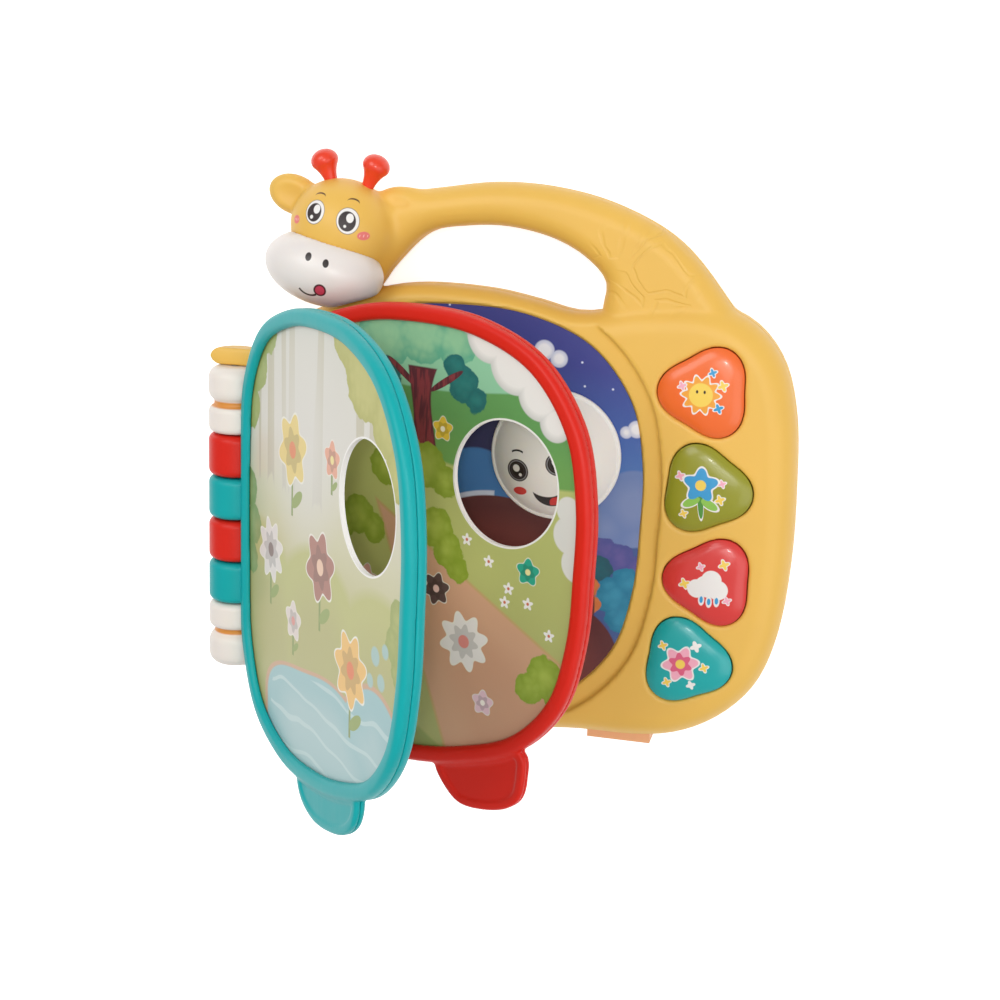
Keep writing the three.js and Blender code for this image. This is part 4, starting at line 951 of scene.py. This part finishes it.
# Spine ends: white end blocks with a groove round them, screwed to the case. The steel rod runs
# through them and through the pages' rings.
BARREL_RADIUS, BARREL_ROUND, GROOVE_DEPTH, GROOVE_WIDTH = 11.0, 2.6, 2.2, 1.4
KNUCKLE_PITCH, KNUCKLE_GAP, RING_LENGTH, CAP_LENGTH = 17.5, 0.6, 12.0, 15.0
ROD_BORE, FOOT_HALF, FOOT_INSET, CAP_ROUND = 1.9, 8.0, 1.5, 4.6
KNUCKLES_LOW = SPINE_MIDDLE_Y - 2 * KNUCKLE_PITCH
KNUCKLES_HIGH = SPINE_MIDDLE_Y + 2 * KNUCKLE_PITCH
GROOVES = KNUCKLES_LOW - RING_LENGTH, KNUCKLES_HIGH + RING_LENGTH


def barrel(x, y, z, low, high, soft):
    """A rounded drum round the spine's axis between two places, z measured from the axis."""
    out = np.hypot(x, z)
    return slab(out - BARREL_RADIUS, y, low, high, soft)


def end_block_form(low, groove, high, cap_side):
    """Two drums with a core between them, on a foot, less the rod's bore. The drum on the outer
    side has the rounder end."""
    def form(x, y, z):
        z = z - AXIS_Z
        core = np.maximum(np.hypot(x, z) - BARREL_RADIUS + GROOVE_DEPTH,
                          np.abs(y - (low + high) / 2) - (high - low) / 2 + BARREL_ROUND)
        rounds = (BARREL_ROUND, CAP_ROUND) if cap_side > 0 else (CAP_ROUND, BARREL_ROUND)
        drums = np.minimum(barrel(x, y, z, low, groove - GROOVE_WIDTH / 2, rounds[0]),
                           barrel(x, y, z, groove + GROOVE_WIDTH / 2, high, rounds[1]))
        foot = box(x, y, z, (-FOOT_HALF, low + FOOT_INSET, RIM_Z - 4 - AXIS_Z),
                   (FOOT_HALF, high - FOOT_INSET, 0))
        whole = joined(joined(core, drums, 0.5), foot, 1.2)
        return cut(whole, np.hypot(x, z) - ROD_BORE, 0.2)
    return form


def painted_groove_shade(under):
    """Painted shade in the grooves: their floor, inside a distance from the spine's axis, is inked a
    shaded warm orange.
    """
    place = in_millimetres(under)
    from_axis = on_places("MULTIPLY", on_places("SUBTRACT", place, (0, 0, AXIS_Z)), (1, 0, 1))
    deep = BARREL_RADIUS - 0.9 - on_places("LENGTH", from_axis, output="Value")
    for groove in GROOVES:
        near = 1.2 - abs(parts(place)[1] - groove)
        under = inked(under, least(deep, near), srgb(222, 146, 62), 0.5)
    return under


# The white blocks' paint is shade painted into the floor of their grooves.
white_plastic = plastic("white_plastic", srgb(240, 231, 222), 0.42, 0.25, 0.0, 0.08, paint=painted_groove_shade)
for name, low, groove, high, side, grid_low in (
        ("upper", KNUCKLES_HIGH + KNUCKLE_GAP / 2, GROOVES[1], GROOVES[1] + CAP_LENGTH, 1,
         KNUCKLES_HIGH - 1),
        ("lower", GROOVES[0] - CAP_LENGTH, GROOVES[0], KNUCKLES_LOW - KNUCKLE_GAP / 2, -1,
         KNUCKLES_LOW - 29)):
    block = moulding(name + "_spine_end", (-13, grid_low, 21), (13, grid_low + 30, 54.5), 0.5,
                     end_block_form(low, groove, high, side))
    dress(block, white_plastic, "case", "white_shell", name + "_spine_block")

# Pages: each is a frame moulded in two halves that meet in a groove round the edge, with rings
# for the rod on the rear half, a thumb tab below, and a printed card held between the halves.
PAGE_HALF, PAGE_ROUND, FRAME_WIDTH, FRAME_WALL = 4.0, 2.4, 6.5, 3.6
CARD_HALF, CARD_GAP, CARD_HOLE = 0.9, 0.3, 23.4
TAB_HALF, TAB_ROUND, TAB_INSET, TAB_RECESS = 2.2, 1.4, 3.6, 0.6
PAGE_SEAM, PAGE_SEAM_SOFT, PAGE_STEP = 0.05, 0.3, 0.6
WEB_START, WEB_REACH, WEB_INSET = 3.0, 15.0, 0.8
PAGES = {
    "red_page": dict(drop=10.1, angle=23.68, rings=(1, 3), tab=[
        (100, 0), (105, -8), (112.5, -13.2), (125, -12.6), (135.4, -9), (141, -4), (143, 4.8), (142, 14),
        (124, 19), (104, 12)]),
    "teal_page": dict(drop=1.56, angle=48.45, rings=(0, 2), tab=[
        (69, -4), (73, -11.6), (85, -16), (102.5, -14), (116, -9), (124, -1.4), (125.6, 9), (110, 17),
        (76, 10)])}


def turned_page(points, angle):
    """Page points (across, up, off the page) turned about the spine's axis by an angle in degrees."""
    a = np.radians(angle)
    across, up, off = np.asarray(points, float).T
    return np.stack([across * np.cos(a) - off * np.sin(a), up,
                     AXIS_Z + across * np.sin(a) + off * np.cos(a)], axis=1)


def frame_form(page, front_half):
    """Half a frame: a rounded ring with a channel for the card, joined to the hollowed tab, cut
    clear of the spine; the rear half also has webs and rings, less the rod's bore."""
    drop, tab = page["drop"], outline(page["tab"], 90)
    block_reach = KNUCKLES_HIGH - SPINE_MIDDLE_Y + RING_LENGTH + CAP_LENGTH + 1

    def form(x, y, off):
        z = off + drop
        flat, flat_tab = from_line(x, y, page_line), from_line(x, y, tab)
        ring = np.abs(flat + FRAME_WIDTH / 2) - FRAME_WIDTH / 2
        ring = slab(ring, z, -PAGE_HALF, PAGE_HALF, PAGE_ROUND)
        thumb = slab(flat_tab, z, -TAB_HALF, TAB_HALF, TAB_ROUND)
        hollow = np.maximum(flat_tab + TAB_INSET, TAB_HALF - TAB_RECESS - np.abs(z))
        thumb = cut(thumb, np.maximum(hollow, 1.5 - flat), 0.7)
        thumb = np.maximum(thumb, -flat - FRAME_WIDTH / 2)
        channel = np.maximum(flat + FRAME_WALL, np.abs(z) - CARD_HALF - CARD_GAP)
        whole = cut(joined(ring, thumb, 1.5), channel, 0.2)
        clear = np.hypot(x, off) - BARREL_RADIUS - KNUCKLE_GAP
        whole = cut(whole, np.maximum(clear, np.abs(y - SPINE_MIDDLE_Y) - block_reach), 0.5)
        half = cut(whole, (z if front_half else -z) - PAGE_SEAM, PAGE_SEAM_SOFT)
        for index in page["rings"]:
            low = KNUCKLES_LOW + index * KNUCKLE_PITCH + KNUCKLE_GAP / 2
            high = low + KNUCKLE_PITCH - KNUCKLE_GAP
            web = box(x, y, z, (WEB_START, low + 1, WEB_INSET - PAGE_HALF),
                      (WEB_REACH, high - 1, PAGE_HALF - WEB_INSET))
            web = np.maximum(web, -flat - FRAME_WALL)
            if front_half:
                half = cut(half, web - 0.3, 0.3)
            else:
                half = joined(half, web, 0.6)
                half = joined(half, barrel(x, y, off, low, high, BARREL_ROUND), 1.0)
        return half if front_half else cut(half, np.hypot(x, off) - ROD_BORE, 0.2)
    return form


def edge_white(place, under):
    """The card's bare white edge round its hole, a hair wide on the face."""
    return inked(under, shape(place, MOON_CENTRE, CARD_HOLE), srgb(246, 243, 238), 0.2, -0.7)


def flower(place, under, at, size, petals, ink, heart):
    """A printed flower: a pale outline, petals, a second ring of petals between them, and a heart."""
    bloom = shape(place, at, size, (1, 1), petals, 0.18, 0.3)
    inner = shape(place, at, size * 0.62, (1, 1), petals, 0.18, 0.3 + np.pi / petals)
    under = inked(under, bloom, srgb(238, 234, 222), 0.4, -0.07 * size)
    under = inked(under, bloom, srgb(*ink))
    under = inked(under, inner, tuple(0.72 * c for c in srgb(*ink)[:3]) + (1.0,))
    return inked(under, shape(place, at, size * 0.27), srgb(*heart), 0.3)


def meadow_print(under):
    """A meadow: hill, tree, clouds, bushes, a tan path widening to the lower edge, and flowers."""
    place, x, y = on_sheet(under)
    grass = ramp(y / SHEET_HEIGHT, (0.1, (176, 176, 112)), (0.45, (184, 188, 114)),
                 (0.68, (190, 196, 118)))
    hill = y - waved(x, 0.035, 0.0, 4.0, 121.0)
    sky = y - waved(x, 0.04, 1.2, 3.0, 149.0)
    grass = layers(grass, (hill, (112, 164, 84), 1.2), (hill, (98, 156, 86), 14.0, 12.0),
                   (sky, (146, 202, 164), 0.8))
    grass = bushes(place, grass, (
        [(56, 152, 12), (70, 164, 13), (88, 168, 13), (104, 166, 10), (42, 146, 11)],
        (96, 172, 140), (158, 206, 160)), (
        [(70, 148, 8), (62, 152, 7), (108, 150, 7), (104, 156, 5), (114, 145, 5)],
        (26, 104, 104), (44, 134, 126)))
    flare = reckon("POWER", abs((y - 138.0) / 20.0), 2.0) * 4.0 + 4.4
    stem = least(flare - abs(x - waved(y, 0.16, 0.0, 0.9, 89.0)), y - 119.0, 154.0 - y)
    trunk = most(stem, shape(place, (79, 151), 9, (1, 0.15), turn=-0.6),
                 shape(place, (100, 150), 9, (1, 0.15), turn=0.55))
    bark = (noise(on_places("MULTIPLY", place, (0.5, 0.06, 1.0)), 1.0) - 0.5) * 12.0
    cloud = puffs(place, [(120, 170, 11), (132, 161, 12), (143, 151, 10), (150, 141.5, 7),
                          (112, 176, 8)])
    low_cloud = puffs(place, [(158, 102, 7), (162, 92, 7), (157, 111, 5)])
    path = least(x * -0.52 + 134.0 - y, x - (y * -0.4 + 108.0))
    grass = layers(grass, (trunk, (92, 34, 48), 0.6), (least(trunk - 0.8, bark), (136, 52, 60), 0.8),
                   (cloud, (206, 204, 200), 0.5), (cloud, (238, 234, 230), 3.0, 1.6),
                   (low_cloud, (226, 224, 218), 0.6), (path, (198, 166, 112), 1.0, -1.2),
                   (path, (212, 164, 132), 1.0), (path, (204, 152, 122), 12.0, 14.0, 0.6),
                   (x * -0.5 + 58.0 - y, (150, 160, 92), 1.5))
    grass = bushes(place, grass, *[(rows, (138, 160, 48), (180, 196, 84)) for rows in (
        [(92, 117, 9), (82, 119, 9), (101, 112, 6), (72, 114, 8)],
        [(103, 86, 7), (97, 94, 8), (108, 79, 5)],
        [(150, 47, 8), (158, 41, 8), (143, 41, 6)], [(58, 92, 8), (50, 88, 7), (66, 88, 6)])])
    for at in ((122.5, 85.5), (132, 77), (130.5, 71.5), (141, 73), (151, 63), (112, 92)):
        grass = inked(grass, shape(place, at, 1.9, (1, 1), 5, 0.3, 0.3), WHITE_INK, 0.3)
        grass = inked(grass, shape(place, at, 0.6), srgb(206, 110, 80), 0.25)
    for bloom in (((112, 52), 9.5, 8, (236, 230, 226), (224, 140, 132)),
                  ((98, 70), 5.5, 6, (92, 70, 68), (240, 200, 190)),
                  ((140.5, 85), 4.4, 5, (40, 168, 140), (238, 226, 160)),
                  ((122, 30), 4.2, 5, (232, 196, 206), (250, 240, 230)),
                  ((99, 132), 4.0, 5, (232, 196, 60), (250, 240, 210)),
                  ((62, 66), 6.0, 6, (236, 176, 168), (250, 226, 150))):
        grass = flower(place, grass, *bloom)
    return edge_white(place, grass)


def pale_print(under):
    """A hazy wood by a pond: pale light between trunks, leafy corners, grass, blue water, flowers."""
    place, x, y = on_sheet(under)
    haze = ramp(y / SHEET_HEIGHT, (0.2, (190, 186, 134)), (0.42, (196, 192, 140)),
                (0.56, (212, 208, 176)), (0.72, (222, 218, 208)), (1.0, (214, 212, 200)))
    stripes = noise(on_places("MULTIPLY", place, (0.14, 0.003, 1.0)), 1.0, 0.0)
    trunks = least((stripes - 0.55) * 60.0, y - (stripes * 40.0 + 82.0))
    glow = shape(place, (72, 128), 44, (0.7, 1))
    mound = puffs(place, [(24, 34, 54), (86, 44, 46), (142, 46, 42)])
    haze = layers(haze, (trunks, (200, 194, 172), 1.6), (glow, (222, 219, 210), 40.0, 10.0, 0.85),
                  (mound, (190, 190, 122), 5.0), (mound, (182, 178, 120), 18.0, 16.0, 0.8))
    haze = bushes(place, haze, (
        [(126, 162, 17), (146, 150, 15), (110, 174, 13), (154, 134, 11)],
         (176, 174, 88), (196, 192, 112)),
        ([(20, 150, 13), (15, 132, 10), (34, 163, 9)], (160, 172, 96), (184, 188, 118)),
        ([(14, 98, 8), (19, 84, 8), (16, 70, 7)], (136, 160, 98), (164, 178, 118)),
        ([(156, 84, 7), (152, 74, 6), (158, 66, 7)], (158, 168, 92), (184, 188, 112)))
    pond = most(shape(place, (90, 12), 48, (1.2, 0.62), 5, 0.05),
                shape(place, (138, 30), 27, (1.1, 0.8), 4, 0.06))
    waves = Field(add(place.tree, "ShaderNodeTexWave", {
        "Vector": place, "Scale": 0.028, "Distortion": 5.0, "Detail": 1.0},
        bands_direction="Y").outputs["Fac"])
    shine = least((waves - 0.95) * 24.0, pond - 3.0)
    blades = puffs(place, [(138, 66, 3.4), (143, 58, 3), (134, 56, 2.6), (146, 70, 2.6)])
    haze = layers(haze, (pond, (206, 168, 136), 0.8, -2.4), (pond, (160, 196, 198), 0.8),
                  (pond, (178, 204, 204), 14.0, 16.0, 0.8), (shine, (200, 220, 218), 0.9, 0.0, 0.7),
                  (blades, (168, 196, 190), 0.8))
    for (bx, by), size, *rest in (((60, 122), 12.0, 6, (232, 208, 128), (226, 138, 92)),
                                  ((38, 78), 10.5, 8, (226, 220, 214), (132, 116, 110)),
                                  ((88, 84), 11.5, 6, (172, 118, 102), (238, 200, 172)),
                                  ((117, 54), 12.0, 7, (238, 192, 112), (228, 130, 84)),
                                  ((98, 126), 6.0, 5, (230, 168, 140), (240, 222, 150)),
                                  ((62, 56), 6.5, 5, (226, 214, 206), (220, 150, 140))):
        stem = least(0.8 - abs(x - bx), by - y, y - (by - size * 2.1))
        leaf = shape(place, (bx + size * 0.4, by - size * 1.5), size * 0.5, (1, 0.4), turn=0.6)
        haze = layers(haze, (stem, (136, 152, 84), 0.4), (leaf, (150, 166, 92), 0.4))
        haze = flower(place, haze, (bx, by), size, *rest)
    return edge_white(place, haze)


PAGE_FINISHES = {
    "red_page": (plastic("red_plastic", srgb(220, 34, 18), 0.42, depth=0.05, gloss=0.3),
                 plastic("meadow_film", srgb(160, 190, 110), paint=meadow_print, **film), "card_meadow"),
    "teal_page": (plastic("teal_plastic", srgb(4, 168, 170), 0.42, depth=0.05, gloss=0.3),
                  plastic("pale_film", srgb(220, 224, 200), paint=pale_print, **film), "card_pale")}
for name, page in PAGES.items():
    def settle(points, page=page):
        """Frame points turned with their page about the spine's axis."""
        return turned_page(points, page["angle"])

    def settle_card(points, page=page):
        """Sheet points, measured from the page's middle, put in the turned page."""
        return turned_page(points - (0, 0, page["drop"]), page["angle"])

    frame_plastic, card_film, card_slot = PAGE_FINISHES[name]
    low_off, high_off = -page["drop"] - 5.2, -page["drop"] + 5.2
    for part, front_half, low, high in (("rear", False, min(low_off, -12), max(high_off, 12)),
                                        ("front", True, low_off, high_off)):
        half = moulding(f"{name}_{part}_half", (-13, -24, low), (170, 180, high), PAGE_STEP,
                        frame_form(page, front_half), settle)
        dress(half, frame_plastic, name, "page_" + name.split("_")[0], f"{name}_frame_{part}")
    card = plate(name + "_sheet", grown(page_line, -FRAME_WALL - CARD_GAP),
                 circle(MOON_CENTRE, CARD_HOLE, 120), -CARD_HALF, CARD_HALF, settle_card)
    dress(card, card_film, name, card_slot, name + "_card")

# Works inside: board, speaker, cells, contacts, switch and screws keep their built shapes and get
# the finishes of the real parts.
refinish(plastic("solder_mask", srgb(47, 107, 58), 0.45, 0.6, 0.2, mottle=0.3), "circuit_board")
refinish(plastic("black_nylon", srgb(34, 34, 36), 0.55, 0.8, mottle=0.3), "speaker", "power_switch",
         "switch_knob")
refinish(plastic("cell_wrap", srgb(58, 68, 80), 0.35, 0.1, 0.2, mottle=0.2), "battery_1", "battery_2")
refinish(plastic("plated_steel", srgb(182, 184, 186), 0.3, 0.4, metal=1.0, mottle=0.2),
         "battery_spring_1", "battery_spring_2", "battery_plate", "hinge_rod", "door_screw",
         *[f"housing_screw_{i}" for i in range(1, 7)], *[f"board_screw_{i}" for i in range(1, 4)])

# Studio: a white floor under soft lamps, at a level where colours show as they are, and the
# photograph's camera. It looks almost straight down on the book, which lies on its back, from 66 cm.
FLOOR_HALF, FLOOR_Z, FLOOR_GLOW = 4.0, -0.0002, 0.65
LAMP_TARGET = (0, 0, 0.03)
LAMPS = [("key_lamp", (-0.6, 0.8, 1.4), 0.9, 9), ("fill_lamp", (1.1, -0.3, 1.2), 1.2, 6),
         ("front_lamp", (0.25, 0.18, 1.35), 0.5, 2.6), ("glint_lamp", (0.26, 0.3, 1.3), 0.07, 1.6)]
WORLD_LIGHT = 0.44
CAMERA_PLACE = (0.14702, 0.14840, 0.66574)
CAMERA_RIGHT, CAMERA_UP = Vector((0.97206, 0.03633, -0.23190)), Vector((-0.08889, 0.97132, -0.22047))
CAMERA_LENS, CAMERA_SENSOR = 60.54, 36


def studio_floor():
    """A large square just under the toy. Seen by the camera it is a little brighter than lit."""
    corners = FLOOR_HALF * np.array([(-1, -1, 0), (1, -1, 0), (1, 1, 0), (-1, 1, 0)])
    floor = surface("floor", corners + (0, 0, FLOOR_Z), [[0, 1, 2, 3]])
    material = bpy.data.materials.new("floor_paper")
    material.use_nodes = True
    tree = material.node_tree
    speckle = Field(add(tree, "ShaderNodeTexNoise", {"Scale": 3.0, "Detail": 2.0}).outputs["Fac"])
    paper = add(tree, "ShaderNodeMix", {
        0: speckle, 6: (0.90, 0.90, 0.90, 1), 7: (0.93, 0.93, 0.93, 1)}, data_type="RGBA")
    rays = add(tree, "ShaderNodeLightPath").outputs
    seen = most(*[Field(rays[kind]) for kind in ("Is Camera Ray", "Is Glossy Ray",
                                                 "Is Transmission Ray")])
    feed(tree.nodes["Principled BSDF"], {
        "Base Color": Field(paper.outputs[2]), "Roughness": 0.9, "Specular IOR Level": 0.1,
        "Emission Color": (1, 1, 1, 1), "Emission Strength": seen * FLOOR_GLOW})
    floor.data.materials.append(material)


def lamp(name, place, size, watts):
    """A square soft lamp at a place, turned towards the toy."""
    made = bpy.data.objects.new(name, bpy.data.lights.new(name, "AREA"))
    made.data.size = size
    made.data.energy = watts
    made.location = place
    aim = Vector(LAMP_TARGET) - Vector(place)
    made.rotation_euler = aim.to_track_quat("-Z", "Y").to_euler()
    bpy.context.scene.collection.objects.link(made)


studio_floor()
for row in LAMPS:
    lamp(*row)
world = bpy.data.worlds.new("studio")
bpy.context.scene.world = world
world.use_nodes = True
feed(world.node_tree.nodes["Background"], {"Color": (1, 1, 1, 1), "Strength": WORLD_LIGHT})
camera = bpy.data.objects.new("camera", bpy.data.cameras.new("camera"))
camera.data.lens = CAMERA_LENS
camera.data.sensor_width = CAMERA_SENSOR
axes = Matrix((CAMERA_RIGHT, CAMERA_UP, CAMERA_RIGHT.cross(CAMERA_UP))).transposed()
camera.matrix_world = Matrix.Translation(CAMERA_PLACE) @ axes.to_4x4()
bpy.context.scene.collection.objects.link(camera)
bpy.context.scene.camera = camera
bpy.context.scene.view_settings.view_transform = "Standard"
